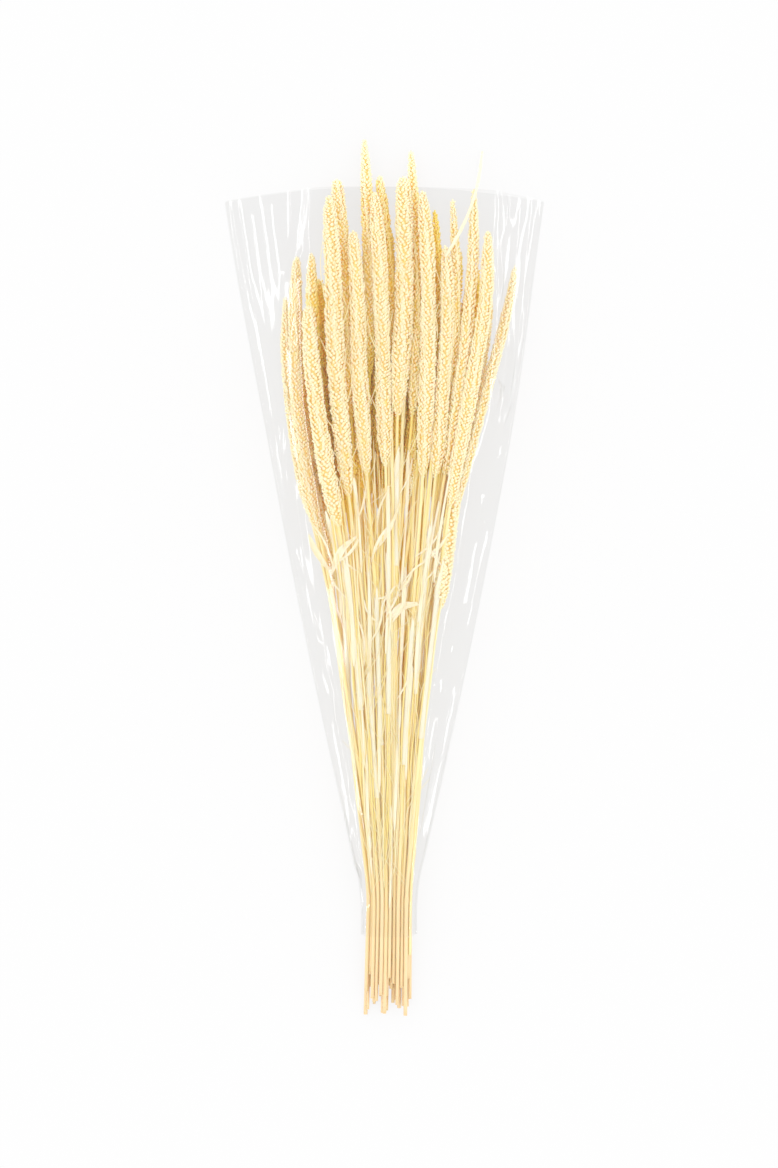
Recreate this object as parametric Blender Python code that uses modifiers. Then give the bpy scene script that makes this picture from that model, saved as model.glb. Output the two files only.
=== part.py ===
"""A bundle of dried foxtail millet in a clear cone sleeve, lying on its back.

Metres, +Z up. The stalks lie along Y with their seed heads towards +Y, the table is at Z = 0,
and the origin is the middle of the bundle's box, on the table. Each stalk, a straw with its
seed head, is one piece, as it grew. The stalks are laid down one after another, and each one
rests on the sleeve's back film and on the stalks below it. The leaf shreds lie on the pile,
and the front film is drawn over everything.
"""
import math

import bmesh
import bpy
import numpy as np

OBJECT_NAME = "foxtail_millet_bundle"

# Gaps and walls
SEAT_GAP = 0.0003  # air between pieces that rest on each other
FILM = 0.0003  # film wall
SEAM_GAP = 0.0003  # air between the two films along their welded seams

# Straws
CUT_RADIUS = 0.0013  # at the cut end
NECK_RADIUS = 0.0011  # under the seed head
CUT_END_Y = -0.349  # the longest straw's cut end
CUT_SPREAD = 0.036  # how far the shortest cut end lies inside the longest
BEND_YS = (-0.25, -0.17, -0.09, -0.02)  # where every straw may bend
BEND_CLEARANCE = 0.03  # least distance from such a bend to the seed head

# Seed heads: share of the head's length from its foot, and share of its full radius
HEAD_RINGS = ((0.0, 0.2), (0.05, 0.62), (0.15, 0.92), (0.45, 1.0), (0.75, 0.92), (0.93, 0.58), (1.0, 0.15))
SIDES_RESOLUTION = 2  # curve bevel resolution: eight sides

# The fan: half width and middle of the stalks' centrelines at each Y
FAN = (
    (-0.350, 0.0175, 0.0024),
    (-0.250, 0.0165, 0.0040),
    (-0.170, 0.0255, 0.0030),
    (-0.098, 0.0335, 0.0020),
    (-0.050, 0.0380, 0.0024),
    (0.014, 0.0445, 0.0024),
    (0.062, 0.0550, -0.0010),
    (0.118, 0.0670, 0.0004),
    (0.174, 0.0770, 0.0040),
    (0.222, 0.0830, 0.0090),
    (0.350, 0.0900, 0.0120),
)

# The waist, where the sleeve gathers the straws in flat rows
WAIST_Y = -0.25
ROW_COUNT = 11  # straws in a row
ROW_PITCH = 0.00315

# How steeply a piece bends down past what carries it, as a slope
TIP_DROOP = 0.14
CUT_DROOP = 0.16
LEAF_DROOP = 0.8

# Under stalks: two rows across the fan, spread by rule
UNDER_ROWS = (
    # count, shares of the fan at the left and right ends, lowest tip Y, spread, head length, radius
    (11, -0.92, 0.90, 0.215, 0.060, 0.175, 0.0060),
    (7, -0.74, 0.56, 0.235, 0.055, 0.180, 0.0060),
)
GOLDEN = 0.618034

# Upper stalks, lowest first: head tip X and Y, head foot X and Y, head radius
UPPER_STALKS = (
    (-0.079, 0.224, -0.058, 0.046, 0.0045),
    (-0.060, 0.096, -0.041, -0.008, 0.0042),
    (0.054, 0.142, 0.041, 0.046, 0.0050),
    (0.024, 0.130, 0.021, 0.062, 0.0040),
    (0.084, 0.204, 0.047, 0.000, 0.0048),
    (0.104, 0.248, 0.054, 0.046, 0.0046),
    (0.074, 0.246, 0.054, 0.078, 0.0050),
    (0.040, 0.292, 0.036, 0.118, 0.0045),
    (0.021, 0.340, 0.022, 0.126, 0.0052),
    (-0.004, 0.320, 0.005, 0.126, 0.0056),
    (-0.016, 0.349, -0.012, 0.158, 0.0050),
    (-0.038, 0.317, -0.026, 0.126, 0.0064),
    (-0.058, 0.257, -0.044, 0.062, 0.0056),
    (0.054, 0.300, 0.048, 0.110, 0.0042),
    (0.071, 0.308, 0.047, 0.078, 0.0048),
    (-0.070, 0.256, -0.050, 0.030, 0.0056),
    (0.082, 0.274, 0.051, 0.054, 0.0056),
    (0.048, 0.262, 0.040, 0.078, 0.0056),
    (0.030, 0.306, 0.030, 0.078, 0.0060),
    (-0.008, 0.305, 0.001, 0.086, 0.0060),
    (-0.044, 0.302, -0.028, 0.062, 0.0070),
    (-0.025, 0.274, -0.014, 0.080, 0.0062),
    (0.015, 0.318, 0.010, 0.126, 0.0070),
    (-0.060, 0.216, -0.035, 0.038, 0.0064),
)

# Leaf shreds: where the shred starts and ends, its sideways bow, its half width
LEAF_THICKNESS = 0.0005
LEAF_ROWS = 8
LEAVES = (
    ((0.048, 0.252), (0.078, 0.340), 0.006, 0.0015),
    ((-0.060, 0.034), (-0.041, 0.004), 0.003, 0.0020),
    ((-0.042, 0.002), (-0.022, 0.032), -0.003, 0.0022),
    ((-0.008, 0.020), (0.012, 0.058), 0.002, 0.0018),
    ((0.002, -0.034), (0.026, -0.020), -0.003, 0.0022),
    ((0.006, -0.020), (0.022, 0.004), 0.002, 0.0012),
    ((0.028, 0.010), (0.050, 0.034), 0.002, 0.0014),
)

# Sleeve: half width and middle of the cut film at its mouth and its tail
MOUTH_Y = 0.296
MOUTH_ARCH = 0.006  # how far the mouth's edge bows out in its middle
TAIL_Y = -0.285
SLEEVE_MIDDLE = 0.0036
MOUTH_HALF_WIDTH = 0.1276
WAIST_HALF_WIDTH = 0.0225
SIDE_BULGE = 0.006  # how far the sleeve's sides bow out between mouth and waist
SEAM_WIDTH = 0.002
FILM_CLEARANCE = 0.0012  # between the front film and the stalks it is drawn over
FILM_COLUMNS = 18
FILM_RISE = 0.035  # about how high the film stands over the pile
FILM_FITS = 3  # passes that push the film's corners out until it clears the pile
FILM_ROWS = 26

PALE_STRAW = (0.80, 0.67, 0.42, 1.0)
SEED_GOLD = (0.78, 0.62, 0.36, 1.0)
DRY_LEAF = (0.85, 0.76, 0.55, 1.0)
CLEAR_FILM = (0.93, 0.95, 0.96, 1.0)


def clear_scene():
    for old in list(bpy.data.objects):
        bpy.data.objects.remove(old, do_unlink=True)


def make_material(name, color, roughness, alpha=1.0):
    material = bpy.data.materials.new(name)
    material.use_nodes = True
    shader = material.node_tree.nodes["Principled BSDF"]
    shader.inputs["Base Color"].default_value = color
    shader.inputs["Roughness"].default_value = roughness
    shader.inputs["Metallic"].default_value = 0.0
    shader.inputs["Alpha"].default_value = alpha
    return material


def ease(share):
    """A smooth step from 0 to 1."""
    share = np.clip(share, 0.0, 1.0)
    return share * share * (3.0 - 2.0 * share)


def fan_half_width(y):
    return np.interp(y, [row[0] for row in FAN], [row[1] for row in FAN])


def fan_middle(y):
    return np.interp(y, [row[0] for row in FAN], [row[2] for row in FAN])


class Stalk:
    """One straw with its seed head, as points along Y: plan X, radius and, once laid, Z."""

    def __init__(self, tip, foot, radius):
        self.tip = tip
        self.foot = foot
        self.radius = radius
        self.waist_x = 0.0
        self.cut_y = CUT_END_Y

    def plan(self):
        """Works out the points' Y, X and radius from the tip, the foot, the waist and the cut."""
        straw_ys = [self.cut_y]
        straw_ys += [y for y in BEND_YS if y < self.foot[1] - BEND_CLEARANCE]
        head_length = self.tip[1] - self.foot[1]
        ys = straw_ys + [self.foot[1] + share * head_length for share, _ in HEAD_RINGS]
        self.ys = np.array(ys)
        straw_share = (self.ys - self.cut_y) / (self.foot[1] - self.cut_y)
        straw_radii = CUT_RADIUS + (NECK_RADIUS - CUT_RADIUS) * np.clip(straw_share, 0.0, 1.0)
        head_radii = [0.0] * len(straw_ys) + [share * self.radius for _, share in HEAD_RINGS]
        self.radii = np.where(self.ys < self.foot[1], straw_radii, head_radii)
        self.radii[len(straw_ys)] = NECK_RADIUS
        self.xs = fan_middle(self.ys) + self.shares() * fan_half_width(self.ys)

    def shares(self):
        """Where the stalk lies across the fan at each point, from -1 to 1."""
        waist = (self.waist_x - fan_middle(WAIST_Y)) / fan_half_width(WAIST_Y)
        foot = (self.foot[0] - fan_middle(self.foot[1])) / fan_half_width(self.foot[1])
        tip = (self.tip[0] - fan_middle(self.tip[1])) / fan_half_width(self.tip[1])
        below = waist + (foot - waist) * ease((self.ys - WAIST_Y) / (self.foot[1] - WAIST_Y))
        along_head = (self.ys - self.foot[1]) / (self.tip[1] - self.foot[1])
        above = foot + (tip - foot) * np.clip(along_head, 0.0, 1.0)
        return np.where(self.ys < self.foot[1], below, above)

    def lay_out(self, stations):
        """Samples the plan at every station; outside the stalk its radius is not a number."""
        self.station_x = np.interp(stations, self.ys, self.xs)
        self.station_r = np.interp(stations, self.ys, self.radii, left=np.nan, right=np.nan)
        slope = np.gradient(self.station_x, stations)
        self.station_r = self.station_r * np.sqrt(1.0 + slope * slope)
        self.half_width = np.zeros(len(stations))

    def rest_on(self, below, stations):
        """Gives the points their Z, so that the stalk lies on the film and on the stalks below."""
        need = resting_height(self, below)
        self.zs = taut_heights(self.ys, stations, need, TIP_DROOP, CUT_DROOP)
        self.station_z = np.interp(stations, self.ys, self.zs)


class Leaf:
    """A flat shred of leaf that lies across the stalks."""

    def __init__(self, start, end, bow, half_width):
        share = np.linspace(0.0, 1.0, LEAF_ROWS + 1)
        along = np.array(end) - np.array(start)
        across = np.array((along[1], -along[0])) / np.hypot(*along)
        points = np.array(start) + share[:, None] * along
        points += (bow * np.sin(math.pi * share))[:, None] * across
        self.xs = points[:, 0]
        self.ys = points[:, 1]
        self.widths = half_width * (0.25 + 0.75 * np.sin(math.pi * np.clip(share * 0.9 + 0.06, 0, 1)))

    def lay_out(self, stations):
        order = np.argsort(self.ys)
        ys = self.ys[order]
        self.station_x = np.interp(stations, ys, self.xs[order])
        slope = np.gradient(self.station_x, stations)
        spread = np.sqrt(1.0 + slope * slope)
        half = np.interp(stations, ys, self.widths[order]) * spread
        inside = (stations >= ys[0] - self.widths.max()) & (stations <= ys[-1] + self.widths.max())
        self.half_width = half
        self.station_r = np.where(inside, LEAF_THICKNESS, np.nan)

    def rest_on(self, below, stations):
        order = np.argsort(self.ys)
        need = resting_height(self, below)
        zs = taut_heights(self.ys[order], stations, need, LEAF_DROOP, LEAF_DROOP)
        self.zs = np.empty_like(zs)
        self.zs[order] = zs
        self.station_z = np.interp(stations, self.ys[order], zs)


def resting_height(piece, below):
    """The lowest centreline height at each station that clears the film and the pieces below."""
    need = FILM + SEAT_GAP + piece.station_r
    for other in below:
        reach = piece.station_r + other.station_r + SEAT_GAP
        aside = np.abs(piece.station_x - other.station_x) - piece.half_width
        aside = np.maximum(aside, 0.0)
        over = np.isfinite(reach) & (aside < reach)
        climb = np.sqrt(np.maximum(np.where(over, reach, 0.0) ** 2 - aside ** 2, 0.0))
        need = np.where(over, np.maximum(need, other.station_z + climb), need)
    return need


def taut_heights(ys, stations, need, droop_up, droop_down):
    """Heights at a piece's own points, for a piece drawn straight between its supports.

    Past its last supports it bends down by no more than the two slopes, towards +Y and -Y.
    """
    inside = np.isfinite(need)
    at = stations[inside]
    height = need[inside].copy()
    for index in range(1, len(at)):
        height[index] = max(height[index], height[index - 1] - droop_up * (at[index] - at[index - 1]))
    for index in range(len(at) - 2, -1, -1):
        height[index] = max(height[index], height[index + 1] - droop_down * (at[index + 1] - at[index]))
    hull = upper_hull(list(zip(at, height)))
    zs = np.interp(ys, [point[0] for point in hull], [point[1] for point in hull])
    short = need[inside] - np.interp(at, ys, zs)
    return zs + max(0.0, float(short.max()))


def upper_hull(points):
    """The corners of the tightest line that passes over all the points, from left to right."""
    hull = []
    for point in points:
        while len(hull) >= 2:
            (ax, az), (bx, bz) = hull[-2], hull[-1]
            if (bx - ax) * (point[1] - az) < (bz - az) * (point[0] - ax):
                break
            hull.pop()
        hull.append(point)
    return hull


def under_stalks():
    """The rows that lie at the bottom of the pile, where only their sides and tips show."""
    stalks = []
    for count, left, right, tip_y, tip_spread, length, radius in UNDER_ROWS:
        for index in range(count):
            share = left + (right - left) * index / (count - 1)
            high = tip_y + tip_spread * ((index * GOLDEN) % 1.0) * (1.0 - 0.5 * abs(share))
            low = high - length
            tip = (fan_middle(high) + share * fan_half_width(high), high)
            foot = (fan_middle(low) + share * fan_half_width(low), low)
            stalks.append(Stalk(tip, foot, radius))
    return stalks


def plan_stalks():
    """All stalks in the order they are laid, with their places in the waist's rows."""
    stalks = under_stalks()
    for tip_x, tip_y, foot_x, foot_y, radius in UPPER_STALKS:
        stalks.append(Stalk((tip_x, tip_y), (foot_x, foot_y), radius))
    middle = fan_middle(WAIST_Y)
    for first in range(0, len(stalks), ROW_COUNT):
        row = sorted(stalks[first:first + ROW_COUNT], key=lambda stalk: stalk.foot[0])
        shift = 0.25 if (first // ROW_COUNT) % 2 else -0.25
        for place, stalk in enumerate(row):
            stalk.waist_x = middle + ROW_PITCH * (place - (len(row) - 1) / 2 + shift)
    for index, stalk in enumerate(stalks):
        stalk.cut_y = CUT_END_Y + CUT_SPREAD * ((index * GOLDEN) % 1.0)
        stalk.plan()
    return stalks


def lay_pile(stalks, leaves):
    """Lays every stalk and then every leaf on what is already there."""
    own = [piece.ys for piece in stalks + leaves]
    stations = np.unique(np.round(np.concatenate(own + [np.arange(-0.348, 0.348, 0.006)]), 6))
    laid = []
    for piece in stalks + leaves:
        piece.lay_out(stations)
        piece.rest_on(laid, stations)
        laid.append(piece)
    return stations


def link(obj, collection, material):
    collection.objects.link(obj)
    obj.data.materials.append(material)
    return obj


def add_stalk(name, stalk, collection, material):
    curve = bpy.data.curves.new(name, "CURVE")
    curve.dimensions = "3D"
    curve.bevel_depth = 1.0
    curve.bevel_resolution = SIDES_RESOLUTION
    curve.use_fill_caps = True
    spline = curve.splines.new("POLY")
    spline.points.add(len(stalk.ys) - 1)
    for point, x, y, z, radius in zip(spline.points, stalk.xs, stalk.ys, stalk.zs, stalk.radii):
        point.co = (x, y, z, 1.0)
        point.radius = radius
    return link(bpy.data.objects.new(name, curve), collection, material)


def add_grid(name, columns, rows, place, thickness, collection, material):
    """A grid whose vertices place(column, row) puts where they belong, with a wall's thickness."""
    mesh = bpy.data.meshes.new(name)
    grid = bmesh.new()
    bmesh.ops.create_grid(grid, x_segments=columns, y_segments=rows, size=0.5)
    for vertex in grid.verts:
        column = round((vertex.co.x + 0.5) * columns)
        row = round((vertex.co.y + 0.5) * rows)
        vertex.co = place(column, row)
    bmesh.ops.recalc_face_normals(grid, faces=grid.faces)
    if sum(face.normal.z for face in grid.faces) < 0.0:
        bmesh.ops.reverse_faces(grid, faces=grid.faces)
    grid.to_mesh(mesh)
    grid.free()
    obj = link(bpy.data.objects.new(name, mesh), collection, material)
    wall = obj.modifiers.new("wall", "SOLIDIFY")
    wall.thickness = thickness
    wall.offset = 1.0
    return obj


def add_leaf(name, leaf, collection, material):
    tangent_x = np.gradient(leaf.xs)
    tangent_y = np.gradient(leaf.ys)
    length = np.hypot(tangent_x, tangent_y)

    def place(column, row):
        side = (2.0 * column - 1.0) * leaf.widths[row]
        x = leaf.xs[row] + side * tangent_y[row] / length[row]
        y = leaf.ys[row] - side * tangent_x[row] / length[row]
        return (x, y, leaf.zs[row] - LEAF_THICKNESS / 2)

    return add_grid(name, 1, LEAF_ROWS, place, LEAF_THICKNESS, collection, material)


def sleeve_half_width(y):
    share = np.clip((y - WAIST_Y) / (MOUTH_Y - WAIST_Y), 0.0, 1.0)
    straight = WAIST_HALF_WIDTH + (MOUTH_HALF_WIDTH - WAIST_HALF_WIDTH) * share
    return straight + SIDE_BULGE * 4.0 * share * (1.0 - share)


def sleeve_middle(y):
    return SLEEVE_MIDDLE * (1.0 - ease((y - 0.1) / (MOUTH_Y - 0.1)))


def arch(share):
    """How far the mouth's edge lies out from its corners; share runs from -1 to 1 across it."""
    return MOUTH_ARCH * (1.0 - share * share)


def add_back_film(collection, material):
    """The flat film under the bundle."""
    outline = []
    rows = np.linspace(TAIL_Y, MOUTH_Y, 12)
    for y in rows:
        outline.append((sleeve_middle(y) + sleeve_half_width(y), y))
    for share in np.linspace(0.75, -0.75, 7):
        outline.append((sleeve_middle(MOUTH_Y) + share * sleeve_half_width(MOUTH_Y), MOUTH_Y + arch(share)))
    for y in rows[::-1]:
        outline.append((sleeve_middle(y) - sleeve_half_width(y), y))
    curve = bpy.data.curves.new("sleeve_back_film", "CURVE")
    curve.dimensions = "2D"
    curve.fill_mode = "BOTH"
    curve.extrude = FILM / 2
    spline = curve.splines.new("POLY")
    spline.points.add(len(outline) - 1)
    for point, (x, y) in zip(spline.points, outline):
        point.co = (x, y, 0.0, 1.0)
    spline.use_cyclic_u = True
    film = link(bpy.data.objects.new("sleeve_back_film", curve), collection, material)
    film.location.z = FILM / 2
    return film


def film_section(y, stations, pieces):
    """Points across the front film at one Y, from its left edge to its right edge.

    The section is worked out in shares: u across, from seam to seam, and v up. Its columns
    stand at even angles round the middle of the back film, so that neighbouring sections match.
    """
    seam_z = FILM + SEAM_GAP
    half = sleeve_half_width(y)
    middle = sleeve_middle(y)
    seam = half - SEAM_WIDTH
    reach = (MOUTH_Y - TAIL_Y) / FILM_ROWS
    tops = [(-1.0, 0.0), (1.0, 0.0)]
    for piece in pieces:
        for index in np.flatnonzero(np.isfinite(piece.station_r) & (np.abs(stations - y) <= reach)):
            out = piece.station_r[index] + FILM_CLEARANCE
            for angle in np.linspace(0.0, math.pi, 9):
                aside = out * math.cos(angle) + math.copysign(piece.half_width[index], math.cos(angle))
                u = (piece.station_x[index] - aside - middle) / seam
                v = (piece.station_z[index] + out * math.sin(angle) - seam_z) / FILM_RISE
                if abs(u) < 1.0:
                    tops.append((u, v))
    tops.sort()
    angles, radii = polar(np.array(upper_hull(tops)))
    columns = np.linspace(math.pi, 0.0, FILM_COLUMNS - 1)
    column_radii = np.interp(columns[::-1], angles, radii)[::-1]
    top_angles = np.arctan2([v for _, v in tops], [u for u, _ in tops])
    top_radii = np.hypot(*np.array(tops).T)
    for _ in range(FILM_FITS):
        corners = np.stack([column_radii * np.cos(columns), column_radii * np.sin(columns)], axis=1)
        angles, radii = polar(corners)
        excess = top_radii / np.interp(top_angles, angles, radii)
        for column in range(1, FILM_COLUMNS - 2):
            beside = (top_angles < columns[column - 1]) & (top_angles > columns[column + 1])
            if beside.any():
                column_radii[column] *= max(1.0, excess[beside].max())
    xs = middle + seam * column_radii * np.cos(columns)
    zs = seam_z + FILM_RISE * column_radii * np.sin(columns)
    zs[[0, -1]] = seam_z
    xs = np.concatenate([[middle - half], xs, [middle + half]])
    zs = np.concatenate([[seam_z], zs, [seam_z]])
    return xs, zs


def polar(corners):
    """Angles and radii, by rising angle, along the line that joins the corners."""
    steps = np.linspace(0.0, len(corners) - 1, 40 * len(corners))
    us = np.interp(steps, range(len(corners)), corners[:, 0])
    vs = np.interp(steps, range(len(corners)), corners[:, 1])
    return np.arctan2(vs, us)[::-1], np.hypot(us, vs)[::-1]


def add_front_film(stations, pieces, collection, material):
    """The film drawn over the bundle and down to the seams at both sides."""
    ys = np.linspace(TAIL_Y, MOUTH_Y, FILM_ROWS + 1)
    sections = [film_section(y, stations, pieces) for y in ys]

    def place(column, row):
        xs, zs = sections[row]
        y = ys[row]
        if row == FILM_ROWS:
            y += arch(2.0 * column / FILM_COLUMNS - 1.0)
        return (xs[column], y, zs[column])

    return add_grid("sleeve_front_film", FILM_COLUMNS, FILM_ROWS, place, FILM, collection, material)


def main():
    clear_scene()
    collection = bpy.data.collections.new(OBJECT_NAME)
    bpy.context.scene.collection.children.link(collection)
    straw = make_material("dried_millet", SEED_GOLD, 0.8)
    dry_leaf = make_material("dry_leaf", DRY_LEAF, 0.7)
    film = make_material("clear_film", CLEAR_FILM, 0.08, alpha=0.25)

    stalks = plan_stalks()
    leaves = [Leaf(*row) for row in LEAVES]
    stations = lay_pile(stalks, leaves)
    for number, stalk in enumerate(stalks, start=1):
        add_stalk(f"millet_stalk_{number:02d}", stalk, collection, straw)
    for number, leaf in enumerate(leaves, start=1):
        add_leaf(f"leaf_shred_{number:02d}", leaf, collection, dry_leaf)
    add_back_film(collection, film)
    add_front_film(stations, stalks + leaves, collection, film)


if __name__ == "__main__":
    main()
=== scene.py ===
"""Looks of a bundle of dried foxtail millet that lies in a clear, tapering film sleeve.

The file is laid out as a Blender add-on and is run as a script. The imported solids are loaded
first as a fixed frame. Each operator then models one group of like pieces on them, in metres,
with +Y towards the seed heads and +Z up from the surface that the bundle lies on.
"""

import math
import random
from contextlib import contextmanager

import bpy
import numpy as np
from bpy.props import FloatProperty, FloatVectorProperty, IntProperty, PointerProperty
from bpy.types import Operator, Panel, PropertyGroup
from mathutils import Matrix, Vector
from mathutils.bvhtree import BVHTree


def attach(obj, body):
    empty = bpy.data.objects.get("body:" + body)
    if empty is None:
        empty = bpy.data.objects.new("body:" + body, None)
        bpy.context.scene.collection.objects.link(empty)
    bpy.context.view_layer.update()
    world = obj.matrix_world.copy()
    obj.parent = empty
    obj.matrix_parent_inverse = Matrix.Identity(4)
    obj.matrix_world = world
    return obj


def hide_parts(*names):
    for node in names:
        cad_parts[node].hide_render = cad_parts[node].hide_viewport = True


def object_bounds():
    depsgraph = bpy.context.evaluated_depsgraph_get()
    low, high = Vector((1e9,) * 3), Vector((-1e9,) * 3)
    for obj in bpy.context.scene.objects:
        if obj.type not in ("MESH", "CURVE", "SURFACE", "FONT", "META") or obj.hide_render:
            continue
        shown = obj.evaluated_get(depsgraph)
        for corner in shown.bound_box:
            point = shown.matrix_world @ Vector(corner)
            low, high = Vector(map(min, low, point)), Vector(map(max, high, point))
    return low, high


bl_info = {
    "name": "Dried Millet Bundle",
    "version": (1, 0, 0),
    "blender": (4, 5, 0),
    "location": "View3D > Sidebar > Millet",
    "description": "Models the seed heads, straws, leaves and clear sleeve of a dried millet bundle",
    "category": "Add Mesh",
}

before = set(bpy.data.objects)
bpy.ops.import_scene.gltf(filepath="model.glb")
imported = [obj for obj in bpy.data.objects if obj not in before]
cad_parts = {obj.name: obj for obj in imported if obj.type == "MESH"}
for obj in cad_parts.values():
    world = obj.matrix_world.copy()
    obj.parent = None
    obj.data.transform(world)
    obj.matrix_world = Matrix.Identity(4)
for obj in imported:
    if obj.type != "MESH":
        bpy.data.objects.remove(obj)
CAD_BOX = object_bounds()

TUBE_SIDES = 8  # corners in each ring of a stalk's solid
HEAD_RINGS = 7  # rings of that solid that belong to its seed head
LEAF_CORNERS = 4  # corners in each row of a leaf's solid
LOW_ROWS = 18  # stalks of the two lowest rows
LOW_ROW_SWELL = 1.16  # how much looser and thicker those stalks' heads are
LINE_POINTS = 81  # points of a stalk's middle line
HEAD_POINTS = 10  # points of the line that a head or sheath is bent along
STRAW_POINTS = 22
SIDE_POINTS = 18
SIDE_WANDER = 0.0010  # how far a thin straw wanders to each side of its course
FAN_MIDDLE = 0.003  # X of the middle of the fan of straws
FAN_WAIST = -0.27, 0.016  # where, along Y, the fan begins, and its half width there
FAN_SPREAD = 0.10  # how fast its half width grows
THREAD_TINT = 0.85
FINE_RADIUS = 0.00055  # of the finest straws
LOW_HEAD_BESIDE = 33, 35  # the stalks whose course the short low stalk follows
LOW_HEAD_ASIDE = 0.0072  # how far to the right of them it lies
LOW_HEAD_ENDS = -0.027, 0.070  # where its head begins and ends, along Y
LOW_HEAD_SINK = 0.0005, 0.003  # how far under them that is
LOW_HEAD_WIDTH = 1.35
LOW_STRAW_ENDS = -0.30, -0.021  # where its straw begins and ends, along Y
LOW_STRAW_RADIUS = 0.0012
CUT_END_FADE = -0.35, -0.14  # where, along Y, the straws turn from their brown ends to pale
JOINT_REACH = 0.009  # half length of a joint, as a share of its straw's length
JOINT_NECK = 0.016, 0.93  # how far above a joint its straw is slimmest, and how slim it is there
STRAW_WALL = 0.34  # as a share of the straw's radius
STRAW_BORE = 0.012  # how deep the cut end is hollow, as a share of the straw's length
SHEATH_WALL = 0.00012
LEAF_WALL = 0.00014
GOLDEN_ANGLE = math.radians(137.508)
GRAIN_BELLY = 0.40  # where a grain is thickest, as a share of its length from its root
GRAIN_SHOULDER = 0.76  # where its rounded outer end begins
SHOULDER_WIDTH = 0.76  # how wide it still is there
GRAIN_LEANS = 0.44, 0.72  # least and most angle between a grain and its head's middle line
BRISTLE_SHARE = 0.05  # how many of the grains have a bristle beside them
CORE_DEPTH = 0.62  # how far a head's core lies under its outside, in lengths of a grain
HUSK_AND_SHADE_DEPTH = 0.45  # depth in which the grains' colour turns golden, partly their own colour and partly painted shade of the hollows, in lengths of a grain
PILE_SHADE_SHARE = 0.9  # how strongly the plants take the amber painted shade of the bundle's deep parts, at most
EDGE_MIRROR = 0.35  # how much more a film mirrors when it is seen from its edge
SURFACE_GAP = 0.0004  # how far the plants stay above the surface that the bundle lies on
STALKS = sorted(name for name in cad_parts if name.startswith("millet_stalk"))
LEAVES = sorted(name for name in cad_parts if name.startswith("leaf_shred"))

# Straight models of a seed head: name, length, radius, and how blunt its tip is
HEAD_MODELS = (
    ("full", 0.228, 0.0062, 7.0),
    ("broad", 0.195, 0.0068, 9.0),
    ("even", 0.178, 0.0060, 9.0),
    ("level", 0.182, 0.0058, 5.0),
    ("slim", 0.200, 0.0049, 4.0),
    ("thin", 0.178, 0.0044, 3.0),
    ("short", 0.098, 0.0045, 3.0),
)

# Papery sheaths: number of the stalk, where its low end and its high end are along the straw
SHEATHS = (
    (42, 0.62, 0.97), (40, 0.50, 0.80), (39, 0.40, 0.66), (38, 0.52, 0.86), (37, 0.46, 0.74),
    (36, 0.58, 0.94), (35, 0.55, 0.90), (33, 0.34, 0.62), (41, 0.74, 0.95), (31, 0.52, 0.84),
    (30, 0.62, 0.90), (28, 0.40, 0.70),
)

# Long papery blades that lie on the straws, in tenths of a millimetre: X and Y of the low end
# and of the high end, sideways bow, half width
BLADES = np.array((
    (-120, -1080, -130, 220, 10, 19), (120, -1200, 170, 100, -10, 18), (10, -600, 30, 720, 10, 17),
    (-240, -700, -330, 400, 20, 16), (240, -880, 360, 300, -20, 16),
    (-40, -1700, -60, -620, 10, 14), (80, -2000, 100, -900, 10, 15),
    (-100, -2350, -140, -1400, -10, 13), (300, -400, 430, 600, -20, 15),
    (-340, -300, -460, 520, 20, 14), (130, -100, 190, 1000, 10, 15), (-180, 40, -240, 780, 10, 14),
    (170, -1600, 220, -700, -10, 13), (-160, -1500, -220, -500, 10, 14),
    (40, -2620, 50, -1800, 10, 12), (390, -40, 520, 860, -10, 13),
)) / 10000.0

# Curled shreds of leaf that lie on the straws, given as the blades are
LOOSE_SHREDS = np.array((
    (-120, -520, -20, -180, 40, 11), (-30, -300, 100, -60, -30, 10), (0, -280, 140, -120, -20, 9),
    (-160, -180, -40, -360, 30, 11), (40, -440, 10, -120, 20, 13), (-460, 120, -300, -160, 30, 11),
    (-360, 200, -200, 40, 20, 10), (-60, 340, 40, 700, -30, 10), (300, -40, 440, 200, 30, 11),
    (360, 240, 490, 60, 20, 9), (120, 660, 220, 940, 20, 10), (-220, 440, -140, 760, 20, 10),
    (40, -340, 180, -50, 40, 14), (60, -360, 280, -210, -40, 17), (-80, -170, 80, -70, 30, 15),
    (10, -310, 120, 0, 30, 11), (90, -120, 220, 70, 30, 10), (140, -60, 360, 140, -30, 10),
    (-100, 120, 80, 460, -30, 14), (-400, 100, -180, 340, 30, 15), (-600, 460, -400, 80, -30, 12),
    (240, 160, 460, 440, 40, 11), (-160, -700, -220, -300, 30, 12), (100, -960, 220, -600, 30, 12),
)) / 10000.0

# Folds of the front film: share across where it starts and where it ends, and how far along the
# sleeve that is (0 at the tail, 1 at the mouth), all in thousandths, and its half width in tenths
# of a millimetre. Pleats fan down from the mouth, long folds run down the margins, and pairs of
# short ones meet in a V.
FOLD_UNITS = (1000.0, 1000.0, 1000.0, 1000.0, 10000.0)
FOLDS = np.array((
    (-955, -930, 1000, 520, 40), (-885, -860, 1000, 560, 42), (-815, -800, 980, 600, 46),
    (-750, -730, 1000, 700, 42), (-690, -670, 990, 780, 46), (-900, -860, 540, 300, 32),
    (-800, -820, 620, 380, 36), (-930, -760, 520, 330, 32), (-780, -720, 400, 150, 30),
    (-880, -860, 300, 60, 22), (-900, -860, 700, 655, 24), (-830, -860, 690, 655, 20),
    (960, 950, 1000, 600, 36), (890, 900, 1000, 660, 40), (820, 830, 990, 800, 42),
    (750, 750, 1000, 840, 42), (670, 700, 1000, 880, 50), (810, 860, 750, 690, 42),
    (920, 860, 730, 690, 36), (840, 900, 600, 555, 36), (950, 900, 585, 555, 32),
    (720, 790, 420, 375, 40), (860, 790, 400, 375, 34), (700, 760, 360, 325, 36),
    (820, 760, 345, 325, 30), (950, 920, 560, 400, 24), (860, 840, 540, 440, 24),
    (700, 620, 300, 80, 24), (900, 840, 340, 100, 22),
)) / FOLD_UNITS

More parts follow.
